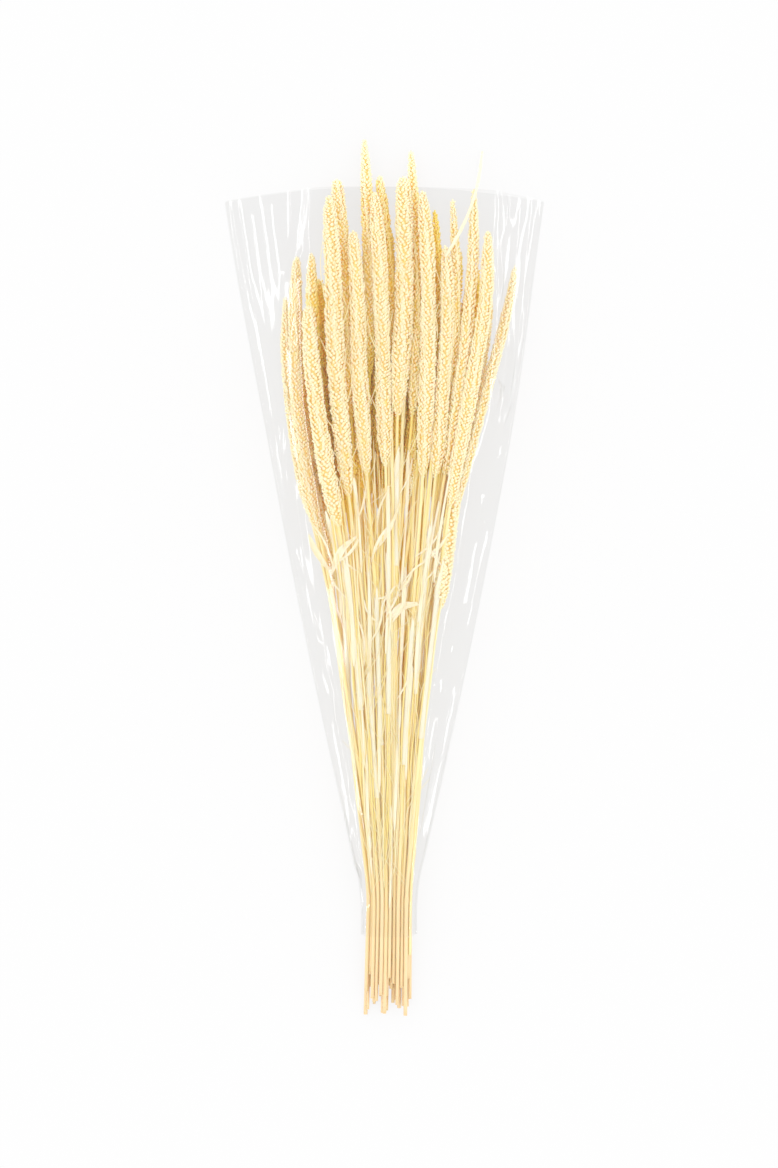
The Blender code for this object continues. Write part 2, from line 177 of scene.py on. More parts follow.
# Broad pleats at the front film's mouth, given as the folds are, but placed by their outer foot
PLEATS = np.array(((-610, -635, 1020, 935, 46), (-500, -610, 1020, 905, 88))) / FOLD_UNITS


# --- settings


def measure(name, description, default, unit="LENGTH"):
    return FloatProperty(name=name, description=description, default=default, unit=unit)


def ratio(name, description, default, subtype="FACTOR"):
    return FloatProperty(name=name, description=description, default=default, subtype=subtype)


def whole(name, description, default):
    return IntProperty(name=name, description=description, default=default)


def triple(name, description, default, subtype="COLOR"):
    return FloatVectorProperty(
        name=name, description=description, default=default, subtype=subtype
    )


class MilletHeadSettings(PropertyGroup):
    """Sizes of the seed heads' grains and bristles."""

    grain_length: measure("Grain length", "Length of one grain", 0.0036)
    grain_width: measure("Grain width", "Width of one grain", 0.0025)
    grain_depth: measure("Grain depth", "Thickness of one grain", 0.0021)
    grain_pitch: measure("Grain pitch", "Mean distance from one grain to the next", 0.00238)
    fullness: ratio("Fullness", "Thickness of the heads over that of their solids", 1.06)
    ranks: whole("Ranks", "Rows round the head whose grains lean to both sides", 4)
    bristle_length: measure("Bristle length", "Length of one bristle", 0.0062)
    bristle_radius: measure("Bristle radius", "Radius of a bristle at its root", 0.00013)
    seed: whole("Seed", "Start of the random draws", 11)


class MilletStrawSettings(PropertyGroup):
    """Sizes of the straws and of what lies loose on them."""

    joint_swell: ratio("Joint swell", "Width of a joint over the straw's", 1.22)
    side_straws: whole("Side straws", "Thin straws between each two stalks of a row", 3)
    sheath_gap: measure("Sheath gap", "Room between a straw and its sheath", 0.0003)
    thread_count: whole("Threads", "Hair-thin threads that lie across the straws", 190)
    fine_straws: whole("Fine straws", "Finest straws of each colour, on top", 46)
    thread_radius: measure("Thread radius", "Radius of a loose thread", 0.00028)
    seed: whole("Seed", "Start of the random draws", 23)


class MilletFilmSettings(PropertyGroup):
    """Shape and finish of the clear sleeve."""

    front_width: measure("Front width", "Width of the front film at its mouth, laid flat", 0.278)
    front_area: measure("Front area", "Flat area of the tapering front film", 0.116, "AREA")
    back_width: measure("Back width", "Width of the back film at its mouth, laid flat", 0.255)
    back_area: measure("Back area", "Flat area of the tapering back film", 0.089, "AREA")
    crumple_height: measure("Crumple height", "Height of the film's small folds", 0.0016)
    roughness: ratio("Roughness", "How much the film blurs what it mirrors", 0.10)
    mirror: ratio("Mirror", "Share of light that a film mirrors straight on", 0.022)
    tint: triple("Tint", "Share of light that passes each film", (0.941, 0.940, 0.936))
    seed: whole("Seed", "Start of the random draws", 5)


class MilletColourSettings(PropertyGroup):
    """Colours of the dried plant, and the amber painted shade deep in the bundle."""

    grain_tip: triple("Grain tip", "Outer ends of the grains", (1.0, 0.84, 0.475))
    grain_side: triple("Grain side", "Flanks of the grains", (1.0, 0.815, 0.375))
    # partly the grains' own colour, partly painted shade in the hollows between them
    grain_hollow: triple("Grain hollow", "Depths between the grains", (0.995, 0.72, 0.14))
    straw_pale: triple("Pale straw", "Lightest straws", (0.94, 0.76, 0.345))
    straw_gold: triple("Golden straw", "Warmest straws", (0.935, 0.655, 0.14))
    straw_cut: triple("Cut straw", "Straws at their cut ends", (0.75, 0.485, 0.205))
    # painted shade: the amber that the plants take deep in the pile, where little light reaches
    pile_shade: triple("Heart", "Unbleached plants deep in the bundle", (1.0, 0.68, 0.03))
    leaf: triple("Leaf", "Dry leaf and sheath", (0.97, 0.87, 0.56))


class MilletStudioSettings(PropertyGroup):
    """Camera, floor and light."""

    camera_height: measure("Camera height", "Height of the camera over the surface", 2.2)
    view_length: measure("View length", "Length of surface that the view takes in", 0.934)
    view_centre: triple(
        "View centre", "Point that the camera looks down on", (0.0036, -0.0052, 0.0), "TRANSLATION"
    )
    floor_tone: ratio("Floor tone", "Lightness of the floor", 0.154)
    floor_glow: ratio("Floor glow", "Strength of the light from under the floor", 0.728, "NONE")
    surround: ratio("Surround", "Strength of the room's even light", 1.70, "NONE")
    ceiling: ratio("Ceiling", "Strength of what shiny surfaces mirror", 0.45, "NONE")
    softness: ratio("Softness", "Gamma that lifts the shadows", 1.55, "NONE")
    bounces: whole("Bounces", "How often light goes from plant to plant", 32)
    lamp_power: measure("Lamp power", "Power of each side lamp", 28.0, "POWER")


# --- shader arithmetic


def arithmetic(operation, reflected=False):
    """A method that adds a Math node for a wire and another value, or for the two swapped."""
    def method(wire, other):
        first, second = (other, wire) if reflected else (wire, other)
        sockets = {0: first, 1: second}
        return wire.finish.node("ShaderNodeMath", {"operation": operation}, sockets)

    return method


class Wire:
    """One shader output that takes part in Python arithmetic."""

    def __init__(self, finish, socket):
        self.finish = finish
        self.socket = socket

    __add__ = __radd__ = arithmetic("ADD")
    __mul__ = __rmul__ = arithmetic("MULTIPLY")
    __sub__ = arithmetic("SUBTRACT")
    __rsub__ = arithmetic("SUBTRACT", reflected=True)
    __pow__ = arithmetic("POWER")

    def clamped(self):
        """The same value held between 0 and 1."""
        limits = {"operation": "ADD", "use_clamp": True}
        return self.finish.node("ShaderNodeMath", limits, {0: self, 1: 0.0})


class Finish:
    """A material's node tree, built from one general node method and a few named patterns."""

    def __init__(self, name, kind="materials"):
        self.owner = getattr(bpy.data, kind).new(name)
        self.owner.use_nodes = True
        self.tree = self.owner.node_tree
        self.tree.nodes.clear()

    def node(self, kind, settings=None, sockets=None, output=0):
        """Adds a node: its settings first, then the values or wires of its sockets."""
        node = self.tree.nodes.new(kind)
        for key, value in (settings or {}).items():
            if key == "stops":
                self.set_stops(node.color_ramp, value)
            else:
                setattr(node, key, value)
        for key, value in (sockets or {}).items():
            if isinstance(value, Wire):
                self.tree.links.new(value.socket, node.inputs[key])
            else:
                node.inputs[key].default_value = value
        return Wire(self, node.outputs[output]) if node.outputs else None

    def set_stops(self, ramp, stops):
        while len(ramp.elements) > 1:
            ramp.elements.remove(ramp.elements[-1])
        for index, (place, color) in enumerate(stops):
            element = ramp.elements[0] if index == 0 else ramp.elements.new(place)
            element.position = place
            element.color = (*color, 1.0)

    def mix(self, share, first, second):
        """A colour between two others, by a share from 0 to 1."""
        first, second = (c if isinstance(c, Wire) else (*c, 1.0) for c in (first, second))
        sockets = {0: share, 6: first, 7: second}
        return self.node("ShaderNodeMix", {"data_type": "RGBA"}, sockets, output=2)

    def attribute(self, name):
        return self.node("ShaderNodeAttribute", {"attribute_name": name}, output=2)

    def noise(self, stretch, scale=1.0, detail=2.0, roughness=0.5, source="Object"):
        """Noise in the piece's own coordinates, which are stretched by a number for each axis."""
        own = self.node("ShaderNodeTexCoord", output={"UV": 2, "Object": 3}[source])
        place = self.node("ShaderNodeMapping", None, {"Vector": own, "Scale": stretch})
        sockets = {"Vector": place, "Scale": scale, "Detail": detail, "Roughness": roughness}
        return self.node("ShaderNodeTexNoise", None, sockets)

    def bump(self, height, distance):
        return self.node("ShaderNodeBump", None, {"Height": height, "Distance": distance})

    def output(self, surface, kind="ShaderNodeOutputMaterial"):
        self.node(kind, None, {"Surface": surface})
        return self.owner

    def plant(self, face, pile_shade, roughness, height, distance, specular=0.3):
        """The slightly translucent material of a dry plant, with amber painted shade deep in the
        bundle.
        """
        # painted shade: the deeper a corner lies in the pile, the more amber it takes
        color = self.mix(PILE_SHADE_SHARE * self.attribute("inner"), face, pile_shade)
        sockets = {"Base Color": color, "Roughness": roughness,
                   "Normal": self.bump(height, distance), "Specular IOR Level": specular,
                   "Subsurface Weight": 0.35, "Subsurface Radius": (1.0, 0.6, 0.3),
                   "Subsurface Scale": 0.002}
        return self.output(self.node("ShaderNodeBsdfPrincipled", None, sockets))


def seed_finish(colors):
    """Grains: pale at their outer ends, and golden between them, partly their own colour and partly
    painted shade of the hollows.
    """
    finish = Finish("millet_seed")
    blotch = finish.noise((620.0, 620.0, 620.0))
    # the ramp turns golden towards the hollows between grains: partly their own colour, partly painted
    # shade
    level = (finish.attribute("depth") + 0.16 * (blotch - 0.5)).clamped()
    stops = (0.15, colors.grain_hollow), (0.52, colors.grain_side), (0.88, colors.grain_tip)
    base = finish.node("ShaderNodeValToRGB", {"stops": stops}, {"Fac": level})
    patch = finish.noise((38.0, 16.0, 38.0), detail=1.0)
    share = (0.5 * finish.attribute("tint") * patch).clamped()
    face = finish.mix(share, base, colors.grain_side)
    grit = finish.noise((1900.0, 1900.0, 1900.0), detail=1.0)
    return finish.plant(face, colors.pile_shade, 0.62 + 0.12 * blotch, grit, 0.00022)


def straw_finish(colors):
    """Straw: streaks along its length, its own tint, and brown towards its cut end."""
    finish = Finish("millet_straw")
    streak = finish.noise((9.0, 3.0, 1.0), 4.0, 4.0, 0.65, "UV")
    patch = finish.noise((60.0, 14.0, 60.0))
    tint = finish.attribute("tint")
    share = (tint + 0.75 * (streak - 0.5) + 0.55 * (patch - 0.5)).clamped()
    face = finish.mix(share, colors.straw_gold, colors.straw_pale)
    aged = finish.mix(finish.attribute("aged"), face, colors.straw_cut)
    ribs = finish.noise((26.0, 2.0, 1.0), 3.0, source="UV")
    return finish.plant(aged, colors.pile_shade, 0.36 + 0.22 * streak, ribs, 0.00018, specular=0.35)


def leaf_finish(name, colors, veins):
    """Dry leaf and sheath: papery, with fine veins along its length."""
    finish = Finish(name)
    vein = finish.noise((veins, 1.2, 1.0), 3.0, 3.0, 0.6, "UV")
    patch = finish.noise((90.0, 40.0, 90.0))
    share = (0.84 + 0.7 * (vein - 0.5) + 0.6 * (patch - 0.5)).clamped()
    face = finish.mix(share, colors.straw_gold, colors.leaf)
    return finish.plant(face, colors.pile_shade, 0.5 + 0.2 * vein, vein, 0.0002)


def film_finish(film):
    """Clear film: lets most light through, and mirrors the lamps along its folds."""
    finish = Finish("clear_film")
    normal = finish.bump(finish.noise((60.0, 14.0, 60.0), detail=3.0, roughness=0.55), 0.0003)
    sockets = {"Blend": 0.5, "Normal": normal}
    facing = finish.node("ShaderNodeLayerWeight", None, sockets, output=1)
    share = (film.mirror + EDGE_MIRROR * facing ** 5.0).clamped()
    clear = finish.node("ShaderNodeBsdfTransparent", None, {"Color": (*film.tint, 1.0)})
    sockets = {"Color": (1.0, 1.0, 1.0, 1.0), "Roughness": film.roughness, "Normal": normal}
    mirror = finish.node("ShaderNodeBsdfAnisotropic", None, sockets)
    return finish.output(finish.node("ShaderNodeMixShader", None, {0: share, 1: clear, 2: mirror}))


def floor_finish(tone, glow):
    """The even, matt top of a table that is lit from within."""
    finish = Finish("floor_paint")
    sockets = {"Base Color": (tone, tone, tone, 1.0), "Roughness": 0.9, "Specular IOR Level": 0.0,
               "Emission Color": (1.0, 1.0, 1.0, 1.0), "Emission Strength": glow}
    return finish.output(finish.node("ShaderNodeBsdfPrincipled", None, sockets))


def room_light(walls, ceiling):
    """The studio's even light, with a dimmer ceiling for the film to mirror."""
    finish = Finish("studio", "worlds")
    mirrored = finish.node("ShaderNodeLightPath", output=3)
    tone = finish.mix(mirrored, (walls, walls, walls), (ceiling, ceiling, ceiling))
    light = finish.node("ShaderNodeBackground", None, {"Color": tone})
    return finish.output(light, "ShaderNodeOutputWorld")


# --- modelling helpers


def activate(obj):
    """Makes obj the only selected object."""
    bpy.ops.object.select_all(action="DESELECT")
    obj.select_set(True)
    bpy.context.view_layer.objects.active = obj


def positions(obj):
    """The corners of a mesh object as rows of X, Y and Z."""
    points = np.empty(len(obj.data.vertices) * 3)
    obj.data.vertices.foreach_get("co", points)
    return points.reshape(-1, 3)


def set_positions(obj, points):
    obj.data.vertices.foreach_set("co", points.ravel())
    obj.data.update()


@contextmanager
def editing(obj, chosen=True, kind="vertices", as_faces=False):
    """Edit mode on a piece, with only the chosen corners or edges of it selected."""
    activate(obj)
    for name in ("vertices", "edges", "polygons"):
        items = getattr(obj.data, name)
        picked = np.zeros(len(items), dtype=bool)
        if name == kind:
            picked[:] = chosen
        items.foreach_set("select", picked)
    tools = bpy.context.tool_settings
    tools.mesh_select_mode = (kind == "vertices", kind == "edges", False)
    bpy.ops.object.mode_set(mode="EDIT")
    if as_faces:
        tools.mesh_select_mode = (False, False, True)
    yield
    bpy.ops.object.mode_set(mode="OBJECT")


def cut_along(obj, cuts):
    """Cuts every edge that runs along Z into cuts + 1 equal lengths."""
    ends = np.empty(len(obj.data.edges) * 2, dtype=np.int32)
    obj.data.edges.foreach_get("vertices", ends)
    span = np.abs(np.diff(positions(obj)[ends.reshape(-1, 2), 2], axis=1)[:, 0])
    with editing(obj, span > 0.9 * span.max(), "edges"):
        bpy.ops.mesh.subdivide(number_cuts=cuts)


def add_primitive(operator, name, **settings):
    """Adds a primitive with nothing else selected."""
    bpy.ops.object.select_all(action="DESELECT")
    operator(**settings)
    bpy.context.object.name = name
    return bpy.context.object


def add_tube(name, sides, length, ends="NGON"):
    """A cylinder of unit radius that stands on the origin."""
    tube = add_primitive(bpy.ops.mesh.primitive_cylinder_add, name, vertices=sides, radius=1.0,
                         depth=length, end_fill_type=ends)
    tube.data.transform(Matrix.Translation((0.0, 0.0, length / 2)))
    return tube


def set_up(thing, **settings):
    """Gives a new curve, lamp, camera, modifier or point its settings."""
    for key, value in settings.items():
        setattr(thing, key, value)
    return thing


def add_object(name, data):
    obj = bpy.data.objects.new(name, data)
    bpy.context.scene.collection.objects.link(obj)
    return obj


def discard(*objects):
    for obj in objects:
        bpy.data.objects.remove(obj, do_unlink=True)


def mark(obj, attribute, values):
    """Stores one number for each corner of the mesh, for its material to read."""
    layer = obj.data.attributes.get(attribute)
    if layer is None:
        layer = obj.data.attributes.new(attribute, "FLOAT", "POINT")
    layer.data.foreach_set("value", np.broadcast_to(values, len(layer.data)).astype(float))


def apply_modifier(obj, kind, **settings):
    activate(obj)
    modifier = set_up(obj.modifiers.new(kind.lower(), kind), **settings)
    bpy.ops.object.modifier_apply(modifier=modifier.name)


def copy_along(source, name, route, widths, turn=0.0):
    """Bends a copy of a piece modelled along +Z onto a smooth line, with a width at each point."""
    obj = add_object(name, source.data.copy())
    obj.data.name = name
    obj.data.transform(Matrix.Rotation(turn, 4, "Z"))
    data = set_up(bpy.data.curves.new("route", "CURVE"), dimensions="3D", twist_mode="Z_UP",
                  resolution_u=6, use_stretch=True, use_deform_bounds=True)
    points = data.splines.new("BEZIER").bezier_points
    points.add(len(route) - 1)
    for point, place, width in zip(points, route, np.broadcast_to(widths, len(route))):
        set_up(point, co=place, radius=width, handle_left_type="AUTO", handle_right_type="AUTO")
    curve = add_object("route", data)
    apply_modifier(obj, "CURVE", object=curve, deform_axis="POS_Z")
    discard(curve)
    return obj


def finish_piece(obj, material, slot, *nodes):
    """Gives a piece its material and its place on the frame, and shades it smooth."""
    obj.data.shade_smooth()
    obj.data.materials.clear()
    obj.data.materials.append(material)
    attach(obj, "root")
    if nodes:
        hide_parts(*nodes)


# --- what the frame says


def corners_of(node):
    """The separate corners of a CAD node."""
    return np.unique(np.round(positions(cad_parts[node]), 5), axis=0)


def soften(values, passes):
    """Evens out a row of values or points a little, and keeps its ends."""
    values = values.copy()
    for _ in range(passes):
        values[1:-1] = 0.25 * values[:-2] + 0.5 * values[1:-1] + 0.25 * values[2:]
    return values


def points_at(values, stations, line):
    """The points of a line for some values of what the stations give for each of its points."""
    return np.stack([np.interp(values, stations, column) for column in line.T], axis=1)


def smooth_step(values, low, high):
    share = np.clip((values - low) / (high - low), 0.0, 1.0)
    return share * share * (3.0 - 2.0 * share)


class Stalk:
    """The middle line of one stalk and its sizes, read from its CAD node."""

    def __init__(self, node):
        corners = corners_of(node)
        rings = corners[np.argsort(corners[:, 1])].reshape(-1, TUBE_SIDES, 3)
        centres = rings.mean(axis=1)
        radii = np.linalg.norm(rings - centres[:, None], axis=2).mean(axis=1)
        ys = np.linspace(centres[0, 1], centres[-1, 1], LINE_POINTS)
        self.node = node
        self.number = int(node[-2:])
        self.low = self.number <= LOW_ROWS
        self.line = soften(points_at(ys, centres[:, 1], centres), 3)
        self.cut_y, self.foot_y, self.tip_y = centres[[0, -HEAD_RINGS, -1], 1]
        self.cut_radius, self.neck_radius = radii[[0, -HEAD_RINGS]]
        self.head_radius = radii.max()

    def route(self, low_y, high_y, count):
        """Evenly spaced points of the middle line between two places along Y."""
        return points_at(np.linspace(low_y, high_y, count), self.line[:, 1], self.line)


def all_stalks():
    """Every stalk by its number."""
    return {stalk.number: stalk for stalk in map(Stalk, STALKS)}


def low_route(low_y, high_y, count):
    """The middle line of the short stalk that follows two of the others on the right flank."""
    stalks = all_stalks()
    left, right = (stalks[number].route(low_y, high_y, count) for number in LOW_HEAD_BESIDE)
    return 0.5 * (left + right) + np.array((LOW_HEAD_ASIDE, 0.0, 0.0))


class Pile:
    """The top of what lies in the sleeve, for loose pieces to lie on, and how deep each place lies
    under it, for the plants' painted shade.
    """

    REACH = 0.0045  # how far to each side a straw may be that still holds a loose piece up
    CELL = 0.003  # width of one cell of the grid in which the pile's heights are kept
    CROWN_CELLS = 4  # how many cells away the highest point of a place's surroundings may be
    PILE_SHADE_DEPTHS = 0.0055, 0.017  # depths in the pile where the amber painted shade on the plants begins, and where it is full
    SIDE_SHARE = 0.60  # how much a distance from the pile's flank counts against one from its top, in the depth that sets the painted shade
    FILM_GAP = 0.0006  # how far under the front film a loose piece stays
    FLOOR_GAP = 0.0012  # how far over the surface its middle line stays

    def __init__(self):
        self.plants = self.tree_of(STALKS + LEAVES)
        self.film = self.tree_of(["sleeve_front_film"])
        self.xs = np.arange(CAD_BOX[0][0], CAD_BOX[1][0], self.CELL)
        self.ys = np.arange(CAD_BOX[0][1], CAD_BOX[1][1], self.CELL)
        crown = np.array([[self.height(self.plants, x, y) for x in self.xs] for y in self.ys])
        covered = crown > 0.0
        columns = np.arange(len(self.xs))
        first = covered.argmax(axis=1)[:, None]
        last = len(columns) - 1 - covered[:, ::-1].argmax(axis=1)[:, None]
        self.side = np.minimum(columns - first, last - columns) * self.CELL * self.SIDE_SHARE
        for _ in range(self.CROWN_CELLS):
            padded = np.pad(crown, 1)
            crown = np.maximum.reduce([
                padded[1:-1, 1:-1], padded[:-2, 1:-1], padded[2:, 1:-1], padded[1:-1, :-2],
                padded[1:-1, 2:],
            ])
        self.crown = crown

    def tree_of(self, names):
        points = []
        faces = []
        for name in names:
            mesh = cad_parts[name].data
            start = len(points)
            points += [vertex.co.copy() for vertex in mesh.vertices]
            faces += [[start + corner for corner in face.vertices] for face in mesh.polygons]
        return BVHTree.FromPolygons(points, faces)

    def height(self, tree, x, y, missed=0.0):
        """The height of the highest point at a place, or another one where there is none."""
        hit = tree.ray_cast(Vector((x, y, 1.0)), Vector((0.0, 0.0, -1.0)))[0]
        return hit.z if hit else missed

    def lay(self, plan, lift):
        """Gives the points of a plan line heights on the pile, under the front film."""
        steps = np.linspace(-self.REACH, self.REACH, 5)
        heights = np.array([
            max(self.height(self.plants, x + step, y) for step in steps) for x, y in plan
        ])
        for _ in range(2):
            heights[1:-1] = np.maximum.reduce([heights[:-2], heights[1:-1], heights[2:]])
        roofs = np.array([self.height(self.film, x, y, missed=1.0) for x, y in plan])
        raised = np.minimum(soften(heights, 6) + lift, roofs - self.FILM_GAP)
        return np.column_stack([plan, np.maximum(raised, self.FLOOR_GAP)])

    def finish(self, obj, material, slot, *nodes):
        """Keeps a plant piece off the surface, marks how deep it lies for its painted shade, and
        finishes it.
        """
        points = positions(obj)
        points[:, 2] = np.maximum(points[:, 2], SURFACE_GAP)
        set_positions(obj, points)
        cells = np.rint((points[:, :2] - (self.xs[0], self.ys[0])) / self.CELL).astype(int)
        column, row = np.clip(cells, 0, (len(self.xs) - 1, len(self.ys) - 1)).T
        depth = np.minimum(self.crown[row, column] - points[:, 2], self.side[row, column])
        # painted shade, by how deep each corner lies under the pile's top or inside its flank
        mark(obj, "inner", smooth_step(depth, *self.PILE_SHADE_DEPTHS))
        finish_piece(obj, material, slot, *nodes)


def bowed_line(start, end, bow, count):
    """Points from start to end that bow out sideways by a distance in their middle."""
    share = np.linspace(0.0, 1.0, count)[:, None]
    start, end = np.array(start), np.array(end)
    along = end - start
    across = np.array((along[1], -along[0])) / np.hypot(*along)
    return start + share * along + bow * np.sin(math.pi * share) * across


# --- seed heads


def model_grain(heads, coarse):
    """One four-sided grain, its root at the origin, with a rounded outer end unless coarse."""
    length = heads.grain_length
    belly = GRAIN_BELLY * length
    shoulder = GRAIN_SHOULDER * length
    top = length if coarse else shoulder
    shape = {"vertices": 4, "depth": top - belly, "end_fill_type": "TRIFAN"}
    if coarse:
        grain = add_primitive(bpy.ops.mesh.primitive_cone_add, "grain", radius1=1.0, **shape)
    else:
        grain = add_primitive(bpy.ops.mesh.primitive_cylinder_add, "grain", radius=1.0, **shape)
    grain.data.transform(Matrix.Translation((0.0, 0.0, (top + belly) / 2)))
    if not coarse:
        move_centre(grain, shoulder, length - shoulder)
        with editing(grain, np.abs(positions(grain)[:, 2] - shoulder) < 0.01 * length):
            bpy.ops.transform.resize(value=(SHOULDER_WIDTH, SHOULDER_WIDTH, 1.0))
    move_centre(grain, belly, -belly)
    with editing(grain):
        bpy.ops.transform.resize(value=(heads.grain_depth / 2, heads.grain_width / 2, 1.0))
    return grain


def move_centre(grain, height, distance):
    """Moves the middle corner of the flat end that a grain has at a height along the grain."""
    x, y, z = positions(grain).T
    with editing(grain, (np.hypot(x, y) < 1e-6) & (np.abs(z - height) < 0.01 * height)):
        bpy.ops.transform.translate(value=(0.0, 0.0, distance))


def model_bristle(heads):
    """One bristle: a thin, three-sided spike from the origin up."""
    length = heads.bristle_length
    bristle = add_primitive(
        bpy.ops.mesh.primitive_cone_add, "bristle", vertices=3, radius1=heads.bristle_radius,
        radius2=0.0, depth=length, location=(0.0, 0.0, length / 2), end_fill_type="NGON",
    )
    bpy.ops.object.transform_apply(location=True, rotation=True, scale=True)
    return bristle


def scatter(shape, places, name):
    """One mesh that holds a copy of a shape at each place. Each copy is marked with its own tint."""
    corners = np.column_stack([positions(shape), np.ones(len(shape.data.vertices))])
    moved = np.einsum("nij,vj->nvi", np.array([place for place, _ in places]), corners)[:, :, :3]
    faces = [tuple(face.vertices) for face in shape.data.polygons]
    count = len(corners)
    mesh = bpy.data.meshes.new(name)
    mesh.from_pydata(
        moved.reshape(-1, 3).tolist(), [],
        [[start + corner for corner in face] for start in range(0, count * len(places), count)
         for face in faces],
    )
    scattered = add_object(name, mesh)
    mark(scattered, "tint", np.repeat([tint for _, tint in places], count))
    return scattered


def head_profile(share, blunt):
    """How thick a seed head is at a share of its length: straight-sided, with rounded ends."""
    share = np.clip(share, 0.0, 1.0)
    away = np.abs(2.0 * share - 1.0)
    ends = np.sqrt(np.maximum(1.0 - away ** np.where(share > 0.5, blunt, 6.0), 0.0))
    return np.maximum(ends * (1.03 - 0.14 * share), 0.12)


def head_place(turn, out, height, lean, aside, size):
    """Where a grain or bristle sits: its root on the core, leaning outwards and to one side."""
    return (
        Matrix.Rotation(turn, 4, "Z")
        @ Matrix.Translation((out, 0.0, height))
        @ Matrix.Rotation(aside, 4, "X")
        @ Matrix.Rotation(lean, 4, "Y")
        @ Matrix.Scale(size, 4)
    )


def model_head(name, length, radius, blunt, grain, bristle, heads, rng):
    """One straight seed head along +Z: grains in a close spiral on a slim core, and bristles."""
    grains = []
    bristles = []
    height = 0.0
    phase = rng.uniform(0.0, math.tau)
    while height < length - 0.7 * heads.grain_length:
        profile = float(head_profile(height / length, blunt))
        thick = radius * profile
        turn = len(grains) * GOLDEN_ANGLE + rng.uniform(-0.10, 0.10)
        rank = math.sin(heads.ranks * turn + phase + 9.0 * height / length)
        lump = 1.0 + 0.03 * math.sin(420.0 * height + 2.0 * turn) + rng.uniform(-0.10, 0.08)
        size = (0.70 + 0.30 * profile) * rng.uniform(0.86, 1.12)
        lean = rng.uniform(*GRAIN_LEANS)
        out = max(thick * lump - heads.grain_length * size * math.sin(lean), 0.0003)
        aside = 0.45 * rank + rng.uniform(-0.25, 0.25)
        grains.append((head_place(turn, out, height, lean, aside, size), rng.uniform(0.0, 1.0)))
        if rng.random() < BRISTLE_SHARE:
            place = head_place(turn + 0.2, out, height, lean + rng.uniform(0.0, 0.35),
                               rng.uniform(-0.7, 0.7), rng.uniform(0.8, 1.3))
            bristles.append((place, 0.0))
        height += heads.grain_pitch ** 2 / (2.0 * math.pi * thick)
    core = add_tube(f"head_model_{name}", 10, length)
    cut_along(core, 15)
    points = positions(core)
    thick = radius * head_profile(points[:, 2] / length, blunt)
    points[:, :2] *= np.maximum(thick - CORE_DEPTH * heads.grain_length, 0.0007)[:, None]
    set_positions(core, points)
    mark(core, "tint", 0.5)
    coat = scatter(grain, grains, "grains"), scatter(bristle, bristles, "bristles")
    activate(core)
    for part in coat:
        part.select_set(True)
    bpy.ops.object.join()
    points = positions(core)
    thick = radius * head_profile(points[:, 2] / length, blunt)
    inner = thick - HUSK_AND_SHADE_DEPTH * heads.grain_length
    out = np.hypot(points[:, 0], points[:, 1])
    # how far out each corner lies in the coat of grains, which sets the painted shade of the hollows
    mark(core, "depth", np.clip((out - inner) / (thick - inner), 0.0, 1.0))
    return core


class MILLET_OT_grow_heads(Operator):
    """Model the straight seed heads and bend a copy of one onto each stalk"""

    bl_idname = "millet.grow_heads"
    bl_label = "Grow Seed Heads"

    def execute(self, context):
        heads = context.scene.millet_heads
        rng = random.Random(heads.seed)
        material = seed_finish(context.scene.millet_colours)
        pile = Pile()
        bristle = model_bristle(heads)
        models = {}
        for coarse in (False, True):
            grain = model_grain(heads, coarse)
            models[coarse] = [
                (model_head(*model, grain, bristle, heads, rng), *model[1:3])
                for model in HEAD_MODELS
            ]
            discard(grain)
        for number, stalk in all_stalks().items():
            route = stalk.route(stalk.foot_y, stalk.tip_y, HEAD_POINTS)
            length = np.linalg.norm(np.diff(route, axis=0), axis=1).sum()
            model, _, radius = min(models[stalk.low], key=lambda entry: (
                abs(math.log(length / entry[1])) + abs(math.log(stalk.head_radius / entry[2]))
            ))
            turn = rng.uniform(0.0, math.tau)
            width = heads.fullness * stalk.head_radius / radius
            width *= LOW_ROW_SWELL if stalk.low else 1.0
            widths = [width * rng.uniform(0.95, 1.05) for _ in route]
            head = copy_along(model, f"seed_head_{number:02d}", route, widths, turn)
            pile.finish(head, material, "seed_head", stalk.node)
        route = low_route(*LOW_HEAD_ENDS, HEAD_POINTS)
        route[:, 2] -= np.linspace(*LOW_HEAD_SINK, HEAD_POINTS)
        head = copy_along(models[False][-1][0], "seed_head_low", route, LOW_HEAD_WIDTH)
        pile.finish(head, material, "seed_head")
        discard(bristle, *[model for entries in models.values() for model, _, _ in entries])
        return {"FINISHED"}


# --- straws and sheaths


def model_straw(joints, straws, sides=10, cuts=63):
    """A straight, hollow straw of unit radius and length 1 along +Z, swollen at its joints."""
    straw = add_tube("straw_model", sides, 1.0)
    cut_along(straw, cuts)
    for joint in joints:
        for rise, width in ((0.0, straws.joint_swell), JOINT_NECK):
            reached = np.abs(positions(straw)[:, 2] - joint - rise) < JOINT_REACH
            with editing(straw, reached):
                centre = (0.0, 0.0, joint)
                bpy.ops.transform.resize(value=(width, width, 1.0), center_override=centre)
    with editing(straw, positions(straw)[:, 2] < 0.001, as_faces=True):
        bpy.ops.mesh.inset(thickness=STRAW_WALL)
        bpy.ops.mesh.extrude_region_move(TRANSFORM_OT_translate={"value": (0.0, 0.0, STRAW_BORE)})
    return straw


